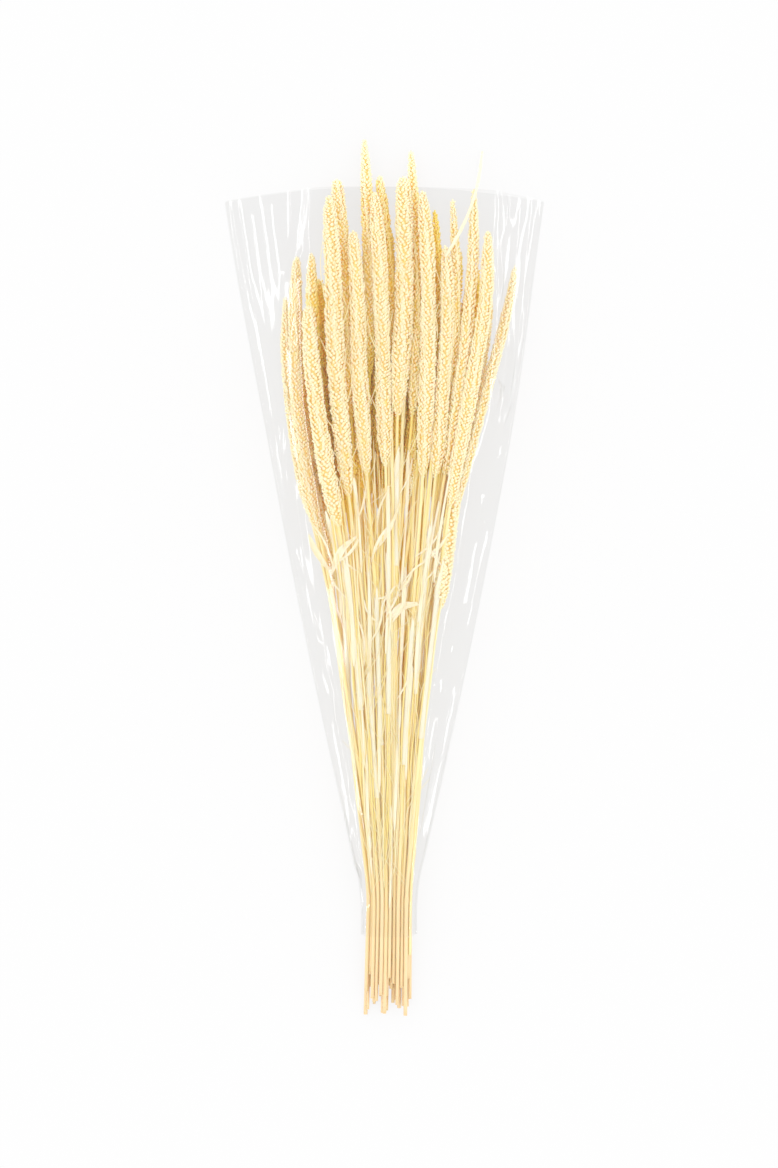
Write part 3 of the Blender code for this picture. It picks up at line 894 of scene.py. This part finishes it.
class MILLET_OT_draw_straws(Operator):
    """Model three straws and bend a copy onto each stalk, from its cut end into its head"""

    bl_idname = "millet.draw_straws"
    bl_label = "Draw Straws"

    def execute(self, context):
        straws = context.scene.millet_straws
        rng = random.Random(straws.seed)
        material = straw_finish(context.scene.millet_colours)
        pile = Pile()
        joints = (0.30, 0.62), (0.42, 0.80), (0.22, 0.55)
        models = [model_straw(pair, straws) for pair in joints]
        share = np.linspace(0.0, 1.0, STRAW_POINTS)
        for number, stalk in all_stalks().items():
            turn = rng.uniform(0.0, math.tau)
            inside = min(0.014, 0.1 * (stalk.tip_y - stalk.foot_y))
            route = stalk.route(stalk.cut_y, stalk.foot_y + inside, STRAW_POINTS)
            taper = stalk.cut_radius + (stalk.neck_radius - stalk.cut_radius) * share
            widths = rng.uniform(0.86, 1.28) * taper
            model = models[number % len(models)]
            straw = copy_along(model, f"straw_{number:02d}", route, widths, turn)
            mark(straw, "tint", rng.uniform(0.15, 1.0))
            mark(straw, "aged", 1.0 - smooth_step(positions(straw)[:, 1], *CUT_END_FADE))
            pile.finish(straw, material, "straw", stalk.node)
        discard(*models)
        return {"FINISHED"}


class MILLET_OT_fill_straws(Operator):
    """Add thin side straws without heads that wander between neighbouring stalks"""

    bl_idname = "millet.fill_straws"
    bl_label = "Fill Side Straws"

    def execute(self, context):
        straws = context.scene.millet_straws
        rng = random.Random(straws.seed + 4)
        material = straw_finish(context.scene.millet_colours)
        model = model_straw((0.35, 0.70), straws, sides=7, cuts=39)
        pile = Pile()
        stalks = list(all_stalks().values())
        pairs = []
        for row in (stalks[:LOW_ROWS], stalks[LOW_ROWS:]):
            row = sorted(row, key=lambda stalk: stalk.route(0.0, 0.0, 1)[0, 0])
            pairs += list(zip(row[:-1], row[1:])) * straws.side_straws
        along = np.linspace(0.0, 1.0, SIDE_POINTS)
        for number, (left, right) in enumerate(pairs, start=1):
            low = rng.uniform(-0.26, -0.06)
            rise = 0.13 if left.low else 0.05
            high = min(left.foot_y, right.foot_y) + rng.uniform(0.01, rise)
            ends = (low, high, SIDE_POINTS)
            share = np.linspace(rng.uniform(0.2, 0.8), rng.uniform(0.2, 0.8), SIDE_POINTS)[:, None]
            route = left.route(*ends) * share + right.route(*ends) * (1.0 - share)
            phase = np.linspace(0.0, rng.uniform(4.0, 9.0), SIDE_POINTS) + rng.uniform(0.0, 6.0)
            route[:, 0] += SIDE_WANDER * np.sin(phase)
            radius = rng.uniform(0.0006, 0.0013)
            widths = radius * np.minimum(1.0, 0.3 + 4.0 * np.minimum(along, 1.0 - along))
            side = copy_along(model, f"side_straw_{number:02d}", route, widths)
            mark(side, "tint", rng.uniform(0.1, 1.0))
            pile.finish(side, material, "straw")
        route = low_route(*LOW_STRAW_ENDS, SIDE_POINTS)
        side = copy_along(model, "side_straw_low", route, LOW_STRAW_RADIUS)
        mark(side, "tint", 0.6)
        pile.finish(side, material, "straw")
        discard(model)
        return {"FINISHED"}


def model_sheath(rng):
    """A papery tube of unit radius along +Z, slit down its back and torn to a point at its top."""
    sheath = add_tube("sheath_model", 18, 1.0, ends="NOTHING")
    cut_along(sheath, 39)
    with editing(sheath, positions(sheath)[:, 1] < -0.8, as_faces=True):
        bpy.ops.mesh.delete(type="FACE")
    points = positions(sheath)
    turn = np.arctan2(points[:, 0], points[:, 1])
    side = np.abs(turn) / math.pi
    share = points[:, 2].copy()
    points[:, 2] *= 1.0 - 0.30 * side - 0.04 * np.sin(9.0 * turn + rng.uniform(0.0, 6.0))
    flare = 1.0 + 0.30 * np.clip((share - 0.7) / 0.3, 0.0, 1.0) ** 2 + 0.10 * side
    ruffle = 1.0 + 0.05 * np.sin(11.0 * turn + 14.0 * share)
    points[:, :2] *= (flare * ruffle)[:, None]
    set_positions(sheath, points)
    return sheath


class MILLET_OT_wrap_sheaths(Operator):
    """Wrap papery leaf sheaths round some of the upper straws"""

    bl_idname = "millet.wrap_sheaths"
    bl_label = "Wrap Sheaths"

    def execute(self, context):
        straws = context.scene.millet_straws
        rng = random.Random(straws.seed + 1)
        material = leaf_finish("dry_sheath", context.scene.millet_colours, 16.0)
        pile = Pile()
        stalks = all_stalks()
        for number, low, high in SHEATHS:
            stalk = stalks[number]
            model = model_sheath(rng)
            turn = rng.uniform(-0.6, 0.6)
            span = stalk.foot_y - stalk.cut_y
            ends = stalk.cut_y + low * span, stalk.cut_y + high * span
            route = stalk.route(*ends, HEAD_POINTS)
            width = 1.12 * stalk.cut_radius + straws.sheath_gap
            sheath = copy_along(model, f"sheath_{number:02d}", route, width, turn)
            discard(model)
            apply_modifier(sheath, "SOLIDIFY", thickness=SHEATH_WALL, offset=1.0)
            pile.finish(sheath, material, "dry_leaf")
        return {"FINISHED"}


# --- leaves and threads


def leaf_rows(node):
    """The middle line and half widths of a CAD leaf, from one end to the other."""
    corners = corners_of(node)
    direction = np.linalg.svd(corners - corners.mean(axis=0))[2][0]
    rows = corners[np.argsort(corners @ direction)].reshape(-1, LEAF_CORNERS, 3)
    middle = rows.mean(axis=1)
    half = np.linalg.norm(rows[:, :, :2] - middle[:, None, :2], axis=2).max(axis=1)
    return middle, half


def model_ribbon(name, middle, half, curl, lift, rng):
    """A curled ribbon of leaf along a line: cupped across, with waving edges and a raised end."""
    ribbon = add_primitive(
        bpy.ops.mesh.primitive_grid_add, name, x_subdivisions=6, y_subdivisions=48, size=2.0
    )
    across, share = positions(ribbon)[:, :2].T
    share = 0.5 + 0.5 * share
    stations = np.linspace(0.0, 1.0, len(middle))
    line = points_at(share, stations, middle)
    ahead = points_at(np.clip(share + 0.03, 0, 1), stations, middle)
    ahead -= points_at(np.clip(share - 0.03, 0, 1), stations, middle)
    ahead /= np.linalg.norm(ahead, axis=1)[:, None]
    side = np.cross(ahead, (0.0, 0.0, 1.0))
    side /= np.linalg.norm(side, axis=1)[:, None]
    up = np.cross(side, ahead)
    width = np.interp(share, stations, half)
    phase = rng.uniform(0.0, 6.0)
    angle = across * curl * (1.0 + 0.35 * np.sin(5.0 * share + phase))
    radius = width / max(curl, 0.2)
    twist = 0.5 * np.sin(4.0 * share + phase)
    out = radius * np.sin(angle)
    high = radius * (1.0 - np.cos(angle))
    high += 0.10 * width * np.sin(31.0 * share + 2.0 * across + phase)
    turned_out = out * np.cos(twist) - high * np.sin(twist)
    turned_high = out * np.sin(twist) + high * np.cos(twist)
    ends = lift * (np.clip((share - 0.75) / 0.25, 0.0, 1.0) ** 2)
    set_positions(ribbon, line + turned_out[:, None] * side + (turned_high + ends)[:, None] * up)
    apply_modifier(ribbon, "SOLIDIFY", thickness=LEAF_WALL, offset=0.0)
    return ribbon


class MILLET_OT_curl_leaves(Operator):
    """Model the dry leaf shreds that lie on the straws"""

    bl_idname = "millet.curl_leaves"
    bl_label = "Curl Leaves"

    def execute(self, context):
        rng = random.Random(context.scene.millet_straws.seed + 2)
        material = leaf_finish("dry_leaf", context.scene.millet_colours, 7.0)
        for node in LEAVES:
            middle, half = leaf_rows(node)
            blade = model_ribbon(f"leaf_blade_{node[-2:]}", middle, 1.3 * half, 0.9, 0.0006, rng)
            finish_piece(blade, material, "dry_leaf", node)
        pile = Pile()
        loose = (
            ("curled_shred", LOOSE_SHREDS, 16, 0.0004, self.shred_taper, 1.3, 0.0005),
            ("long_blade", BLADES, 40, 0.0003, self.blade_taper, 0.8, 0.0),
        )
        for kind, rows, count, gap, taper, curl, lift in loose:
            widths = taper(np.linspace(0.0, 1.0, count))
            for number, row in enumerate(rows, start=1):
                middle = pile.lay(bowed_line(row[:2], row[2:4], row[4], count), gap)
                name = f"{kind}_{number:02d}"
                leaf = model_ribbon(name, middle, row[5] * widths, curl, lift, rng)
                finish_piece(leaf, material, "dry_leaf")
        return {"FINISHED"}

    def shred_taper(self, share):
        return 0.2 + 0.8 * np.sin(math.pi * (0.06 + 0.9 * share))

    def blade_taper(self, share):
        return 0.8 * np.minimum(1.0, 0.15 + 2.6 * np.sin(math.pi * (0.02 + 0.95 * share)))


def thread_piece(name, lines, radius):
    """One mesh of thin, tapering threads along several lines."""
    data = set_up(bpy.data.curves.new(name, "CURVE"), dimensions="3D", bevel_depth=1.0,
                  bevel_resolution=0, resolution_u=1, use_fill_caps=True)
    for line in lines:
        points = data.splines.new("POLY").points
        points.add(len(line) - 1)
        shares = np.linspace(0.0, 1.0, len(line))
        widths = radius * (0.35 + 0.65 * np.sin(math.pi * (0.15 + 0.8 * shares)))
        for point, place, width in zip(points, line, widths):
            set_up(point, co=(*place, 1.0), radius=width)
    activate(add_object(name, data))
    bpy.ops.object.convert(target="MESH")
    threads = bpy.context.object
    with editing(threads):
        bpy.ops.mesh.remove_doubles(threshold=0.00001)
        bpy.ops.mesh.normals_make_consistent(inside=False)
    return threads


def fan_x(y, share):
    """X at a share from -1 to 1 across the straws, which fan out towards their heads."""
    return FAN_MIDDLE + (FAN_WAIST[1] + FAN_SPREAD * (y - FAN_WAIST[0])) * share


class MILLET_OT_scatter_threads(Operator):
    """Lay the finest straws along the upper straws, and hair-thin threads across them"""

    bl_idname = "millet.scatter_threads"
    bl_label = "Scatter Threads"

    def execute(self, context):
        straws = context.scene.millet_straws
        rng = random.Random(straws.seed + 3)
        material = straw_finish(context.scene.millet_colours)
        pile = Pile()
        threads = [self.thread(rng, pile, index, straws) for index in range(straws.thread_count)]
        on_straws = [line for index, line in enumerate(threads) if index % 3]
        fine = [self.fine_line(rng, pile) for _ in range(2 * straws.fine_straws)]
        groups = (
            ("straw_threads", THREAD_TINT, on_straws, straws.thread_radius),
            ("head_threads", THREAD_TINT, threads[::3], straws.thread_radius),
            ("fine_pale_straws", 1.0, fine[:straws.fine_straws], FINE_RADIUS),
            ("fine_golden_straws", 0.1, fine[straws.fine_straws:], FINE_RADIUS),
        )
        for name, tint, lines, radius in groups:
            piece = thread_piece(name, lines, radius)
            mark(piece, "tint", tint)
            finish_piece(piece, material, "straw")
        return {"FINISHED"}

    def thread(self, rng, pile, index, straws):
        """A line across the straws, or for every third one across the heads."""
        y = rng.uniform(*((-0.25, 0.06) if index % 3 else (0.06, 0.22)))
        x = fan_x(y, rng.uniform(-0.8, 0.8))
        heading = rng.gauss(0.0, 0.30)
        length = rng.uniform(0.014, 0.06)
        end = (x + length * math.sin(heading), y + length * math.cos(heading))
        plan = bowed_line((x, y), end, rng.uniform(-0.12, 0.12) * length, 14)
        return pile.lay(plan, straws.thread_radius)

    def fine_line(self, rng, pile):
        """A line along the upper straws that fans out with them."""
        low = rng.uniform(-0.26, -0.02)
        high = min(low + rng.uniform(0.07, 0.20), 0.07)
        side = rng.uniform(-0.95, 0.95)
        drift = rng.gauss(0.0, 0.10)
        y = np.linspace(low, high, STRAW_POINTS)
        share = (y - low) / (high - low)
        x = fan_x(y, side + drift * share)
        x += 0.0006 * np.sin(rng.uniform(5.0, 11.0) * share + rng.uniform(0.0, 6.0))
        return pile.lay(np.stack([x, y], axis=1), rng.uniform(-0.0016, -0.0002))


# --- sleeve


FILM_ROWS = 27  # rows of corners in the front film's solid
FILM_COLUMNS = 19
FOLD_LEAN = math.radians(40.5)  # tilt of a long fold's bright flank
FOLD_RANGE = math.radians(6.0), math.radians(32.0)  # least and most slope of a fold's flanks
FOLD_ROUNDING = 0.13  # how much a fold's flank steepens from its ridge down
PLEAT_BACK = 0.004  # how far behind its ridge a broad pleat ends
PLEAT_EDGE = 0.001  # how wide a strip along a broad pleat's edges is where small folds fade out
CREASES = 24  # faint single creases of the front film, at random
CREASE_SLOPE = 0.12
SMALL_FACETS = 7, 0.020  # how many folds cross in the crumpled film, and their usual distance
LARGE_FACETS = 5, 0.060
BACK_FACETS = 5, 0.03
FACET_FLAT = 0.35  # share of the facets' height that stays flat
OUTWARD = 0.05  # how far up a face of the solid points, at least, if it is on the outside
BACK_HEIGHT = 0.00015  # of the back film over the surface
BACK_RIPPLE = 0.00012


def film_net():
    """The outer corners of the front film's solid, as rows from tail to mouth."""
    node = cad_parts["sleeve_front_film"]
    outer = {corner for face in node.data.polygons if face.normal.z > OUTWARD
             for corner in face.vertices}
    corners = np.unique(np.round(positions(node)[sorted(outer)], 5), axis=0)
    rows = corners[np.argsort(corners[:, 1])].reshape(FILM_ROWS, FILM_COLUMNS, 3)
    return np.stack([row[np.argsort(row[:, 0])] for row in rows])


def refine(points, finer):
    """A smooth line of rows through the given rows, finer times as many."""
    count = len(points)
    padded = np.concatenate([[2 * points[0] - points[1]], points, [2 * points[-1] - points[-2]]])
    steps = np.linspace(0.0, count - 1.0, (count - 1) * finer + 1)
    base = np.minimum(steps.astype(int), count - 2)
    t = (steps - base).reshape((-1,) + (1,) * (points.ndim - 1))
    a, b, c, d = (padded[base + offset] for offset in range(4))
    return b + 0.5 * t * (c - a + t * (2 * a - 5 * b + 4 * c - d + t * (3 * (b - c) + d - a)))


def crumple(x, y, rng, folds, size):
    """The height of small flat facets that meet in sharp creases, from 0 to 1."""
    height = np.zeros_like(x)
    for _ in range(folds):
        heading = rng.uniform(0.0, math.pi)
        along = x * math.cos(heading) + y * math.sin(heading)
        aside = y * math.cos(heading) - x * math.sin(heading)
        wander = 0.22 * np.sin(aside / size * rng.uniform(0.8, 1.6) + rng.uniform(0.0, 6.0))
        place = along / (size * rng.uniform(0.7, 1.7)) + wander + rng.random()
        height += 2.0 * np.abs(place - np.floor(place) - 0.5)
    return height / folds


def mouth_lift(across, along, bulge):
    """How far a film's curved mouth reaches beyond that of its solid."""
    return (0.004 + bulge * (1.0 - across * across)) * smooth_step(along, 0.75, 1.0)


def film_grid(name, net):
    """A grid mesh whose corners take the places in net, rows along Y and columns along X."""
    rows, columns = net.shape[:2]
    film = add_primitive(bpy.ops.mesh.primitive_grid_add, name, x_subdivisions=columns - 1,
                         y_subdivisions=rows - 1, size=2.0)
    shares = (positions(film)[:, :2] + 1.0) / 2.0
    column, row = np.rint(shares * (columns - 1, rows - 1)).astype(int).T
    set_positions(film, net[row, column])
    return film


def press_pleats(fine, across, along, lean):
    """Raises the broad pleats, and gives 0 where they are flat and 1 elsewhere."""
    calm = np.ones_like(across)
    for top, low, start, end, width in PLEATS:
        for row, share, at, tilt, still in zip(fine, across, along[:, 0], lean, calm):
            down = (start - at) / (start - end)
            if not 0.0 < down < 1.0:
                continue
            foot = np.interp(top + (low - top) * down, share, row[:, 0])
            reach = width * float(1.0 - smooth_step(down, 0.55, 1.0) + 1e-6)
            base, crest = np.interp((foot, foot + reach), row[:, 0], row[:, 2])
            slope = math.tan(np.interp(foot, row[:, 0], tilt))
            away = row[:, 0] - foot
            flank = base + slope * away - row[:, 2]
            back = (base + slope * reach - crest) * (1.0 - (away - reach) / PLEAT_BACK)
            lift = np.where(away < reach, flank, np.where(away < reach + PLEAT_BACK, back, 0.0))
            row[:, 2] += np.maximum(lift, 0.0) * (away > 0.0)
            still *= 1.0 - np.clip(np.minimum(away, reach - away) / PLEAT_EDGE, 0.0, 1.0)
    return calm


class MILLET_OT_drape_sleeve(Operator):
    """Model the two films of the clear sleeve with their folds"""

    bl_idname = "millet.drape_sleeve"
    bl_label = "Drape Sleeve"

    def execute(self, context):
        film = context.scene.millet_film
        material = film_finish(film)
        net = film_net()
        sheets = (
            (self.front_film(net, film), "draped", film.front_width, film.front_area),
            (self.back_film(net, film), "laid", film.back_width, film.back_area),
        )
        for piece, held, width, area in sheets:
            finish_piece(piece, material, "clear_film", piece.name.replace("_sheet", "_film"))
            piece.visible_shadow = False
        return {"FINISHED"}

    def front_film(self, net, film):
        """The front film, drawn over the plants, with long folds down its margins."""
        rng = random.Random(film.seed)
        inner = refine(refine(net[:, 1:-1], 6).transpose(1, 0, 2), 24).transpose(1, 0, 2)
        seams = [refine(net[:, column], 6)[:, None] for column in (0, -1)]
        fine = np.concatenate([seams[0], inner, seams[1]], axis=1)
        tail, mouth = fine[[0, -1], :, 1]
        along = (fine[:, :, 1] - tail) / (mouth - tail)
        left, right = fine[:, :1, 0], fine[:, -1:, 0]
        middle, half = (left + right) / 2.0, (right - left) / 2.0
        across = (fine[:, :, 0] - middle) / half
        rows = fine[:, len(fine[0]) // 2, 1]
        uphill = np.gradient(fine[:, :, 2], axis=0) / np.gradient(rows)[:, None]
        sideways = np.gradient(fine[:, :, 2], axis=1) / np.gradient(fine[:, :, 0], axis=1)
        tilt = np.arctan(np.abs(sideways))
        wanted = np.arctan(np.sqrt(np.maximum(math.tan(FOLD_LEAN) ** 2 - uphill ** 2, 0.04)))
        flank = np.clip(np.abs(tilt - wanted), *FOLD_RANGE)
        steep = np.tan(flank) / np.maximum(np.cos(tilt), 0.35)
        rise = np.zeros_like(across)
        for top, low, start, end, width in FOLDS:
            down = (start - along) / (start - end)
            centre = top + (low - top) * np.clip(down, 0.0, 1.0)
            fade = smooth_step(down, -0.02, 0.03) * (1.0 - smooth_step(down, 0.85, 1.0))
            aside = np.clip(np.abs(across - centre) * half / width, 0.0, 1.0)
            rise += fade * width * (1.0 - aside) * (steep + FOLD_ROUNDING * aside)
        for _ in range(CREASES):
            centre = rng.uniform(-0.9, 0.9) + rng.uniform(-0.12, 0.12) * along
            at, reach = rng.uniform(0.05, 0.95), rng.uniform(0.06, 0.22)
            fade = np.clip(1.0 - ((along - at) / reach) ** 2, 0.0, 1.0)
            width = rng.uniform(0.0020, 0.0045)
            inside = np.clip(width - np.abs(across - centre) * half, 0.0, width)
            rise += CREASE_SLOPE * fade * inside
        fine[:, :, 1] += mouth_lift(across, along, 0.0015)
        x, y = fine[:, :, 0], fine[:, :, 1]
        margin = smooth_step(np.abs(across), 0.50, 0.75)
        small = crumple(x, y, rng, *SMALL_FACETS) - FACET_FLAT
        large = crumple(x, 0.6 * y, rng, *LARGE_FACETS) - FACET_FLAT
        strength = 0.25 + margin * np.where(across > 0.0, 0.55, 0.12)
        rise += film.crumple_height * strength * np.clip(small, 0.0, 1.0)
        rise += 0.9 * film.crumple_height * np.clip(large, 0.0, 1.0)
        rise *= press_pleats(fine, across, along, wanted)
        lift = rise * smooth_step(1.0 - np.abs(across), 0.0, 0.06)
        slope = np.gradient(fine[:, :, 2], axis=1) / np.maximum(np.gradient(x, axis=1), 1e-6)
        lean = 1.0 / np.sqrt(1.0 + slope * slope)
        fine[:, :, 0] -= lift * slope * lean
        fine[:, :, 2] += lift * lean
        return film_grid("sleeve_front_sheet", fine)

    def back_film(self, net, film):
        """The back film, flat on the surface, with faint ripples between its seams."""
        rng = random.Random(film.seed + 1)
        edges = refine(net[:, [0, -1]], 4)
        share = np.linspace(0.0, 1.0, 73)
        flat = edges[:, :1] * (1.0 - share[:, None]) + edges[:, -1:] * share[:, None]
        mouth = refine(net, 4)[-1, :, 1]
        flat[-1, :, 1] = np.interp(share, np.linspace(0.0, 1.0, len(mouth)), mouth)
        along = (flat[:, :1, 1] - flat[0, 0, 1]) / np.ptp(flat[:, 0, 1])
        flat[:, :, 1] += mouth_lift(2.0 * share - 1.0, along, 0.0065)
        ripple = crumple(flat[:, :, 0], 0.5 * flat[:, :, 1], rng, *BACK_FACETS)
        flat[:, :, 2] = BACK_HEIGHT + BACK_RIPPLE * ripple
        return film_grid("sleeve_back_sheet", flat)


# --- stage


class MILLET_OT_set_stage(Operator):
    """Set the floor, the lamps, the room's light and a camera that looks down"""

    bl_idname = "millet.set_stage"
    bl_label = "Set Stage"

    FLOOR_DEPTH = 0.0002  # how far the floor lies under the bundle
    LAMP_PLACES = {"lamp_left": (-1.60, 0.05, 0.29), "lamp_right": (1.60, 0.05, 0.29)}
    LAMP_LENGTH = 2.1
    LAMP_HEIGHT = 0.24
    SENSOR_HEIGHT = 36.0

    def execute(self, context):
        scene = context.scene
        studio = scene.millet_studio
        floor = add_primitive(bpy.ops.mesh.primitive_plane_add, "floor", size=8.0,
                              location=(0.0, 0.0, -self.FLOOR_DEPTH))
        bpy.ops.object.transform_apply(location=True, rotation=True, scale=True)
        floor.data.materials.append(floor_finish(studio.floor_tone, studio.floor_glow))
        for name, place in self.LAMP_PLACES.items():
            self.add_lamp(name, place, studio.lamp_power)
        self.add_camera(scene, studio)
        scene.world = room_light(studio.surround, studio.ceiling)
        scene.view_settings.view_transform = "Standard"
        scene.view_settings.gamma = studio.softness
        scene.cycles.max_bounces = studio.bounces
        scene.cycles.diffuse_bounces = studio.bounces
        return {"FINISHED"}

    def add_lamp(self, name, place, power):
        """A rectangular lamp that faces the middle of the bundle."""
        data = bpy.data.lights.new(name, "AREA")
        set_up(data, shape="RECTANGLE", size=self.LAMP_LENGTH, size_y=self.LAMP_HEIGHT, energy=power)
        turn = (-Vector(place)).to_track_quat("-Z", "Y").to_euler()
        set_up(add_object(name, data), location=place, rotation_euler=turn, visible_camera=False,
               visible_diffuse=False)

    def add_camera(self, scene, studio):
        lens = self.SENSOR_HEIGHT * studio.camera_height / studio.view_length
        data = bpy.data.cameras.new("camera")
        set_up(data, sensor_fit="VERTICAL", sensor_height=self.SENSOR_HEIGHT, lens=lens, clip_end=20.0)
        scene.camera = add_object("camera", data)
        scene.camera.location = Vector(studio.view_centre) + Vector((0, 0, studio.camera_height))


# --- add-on


class MILLET_PT_bundle(Panel):
    """Lists the steps and the settings of the millet bundle."""

    bl_idname = "MILLET_PT_bundle"
    bl_label = "Dried Millet Bundle"
    bl_space_type = "VIEW_3D"
    bl_region_type = "UI"
    bl_category = "Millet"

    def draw(self, context):
        for operator in OPERATORS:
            self.layout.operator(operator.bl_idname)
        for group in SETTINGS:
            box = self.layout.box()
            settings = getattr(context.scene, group)
            for name in settings.bl_rna.properties.keys():
                if name not in {"rna_type", "name"}:
                    box.prop(settings, name)


SETTINGS = {
    "millet_heads": MilletHeadSettings,
    "millet_straws": MilletStrawSettings,
    "millet_film": MilletFilmSettings,
    "millet_colours": MilletColourSettings,
    "millet_studio": MilletStudioSettings,
}
OPERATORS = (
    MILLET_OT_set_stage,
    MILLET_OT_grow_heads,
    MILLET_OT_draw_straws,
    MILLET_OT_fill_straws,
    MILLET_OT_wrap_sheaths,
    MILLET_OT_curl_leaves,
    MILLET_OT_scatter_threads,
    MILLET_OT_drape_sleeve,
)
CLASSES = (*SETTINGS.values(), *OPERATORS, MILLET_PT_bundle)


def register():
    for item in CLASSES:
        bpy.utils.register_class(item)
    for name, group in SETTINGS.items():
        setattr(bpy.types.Scene, name, PointerProperty(type=group))


def unregister():
    for name in SETTINGS:
        delattr(bpy.types.Scene, name)
    for item in reversed(CLASSES):
        bpy.utils.unregister_class(item)


def main():
    register()
    for operator in OPERATORS:
        getattr(bpy.ops.millet, operator.bl_idname.removeprefix("millet."))()


if __name__ == "__main__":
    main()
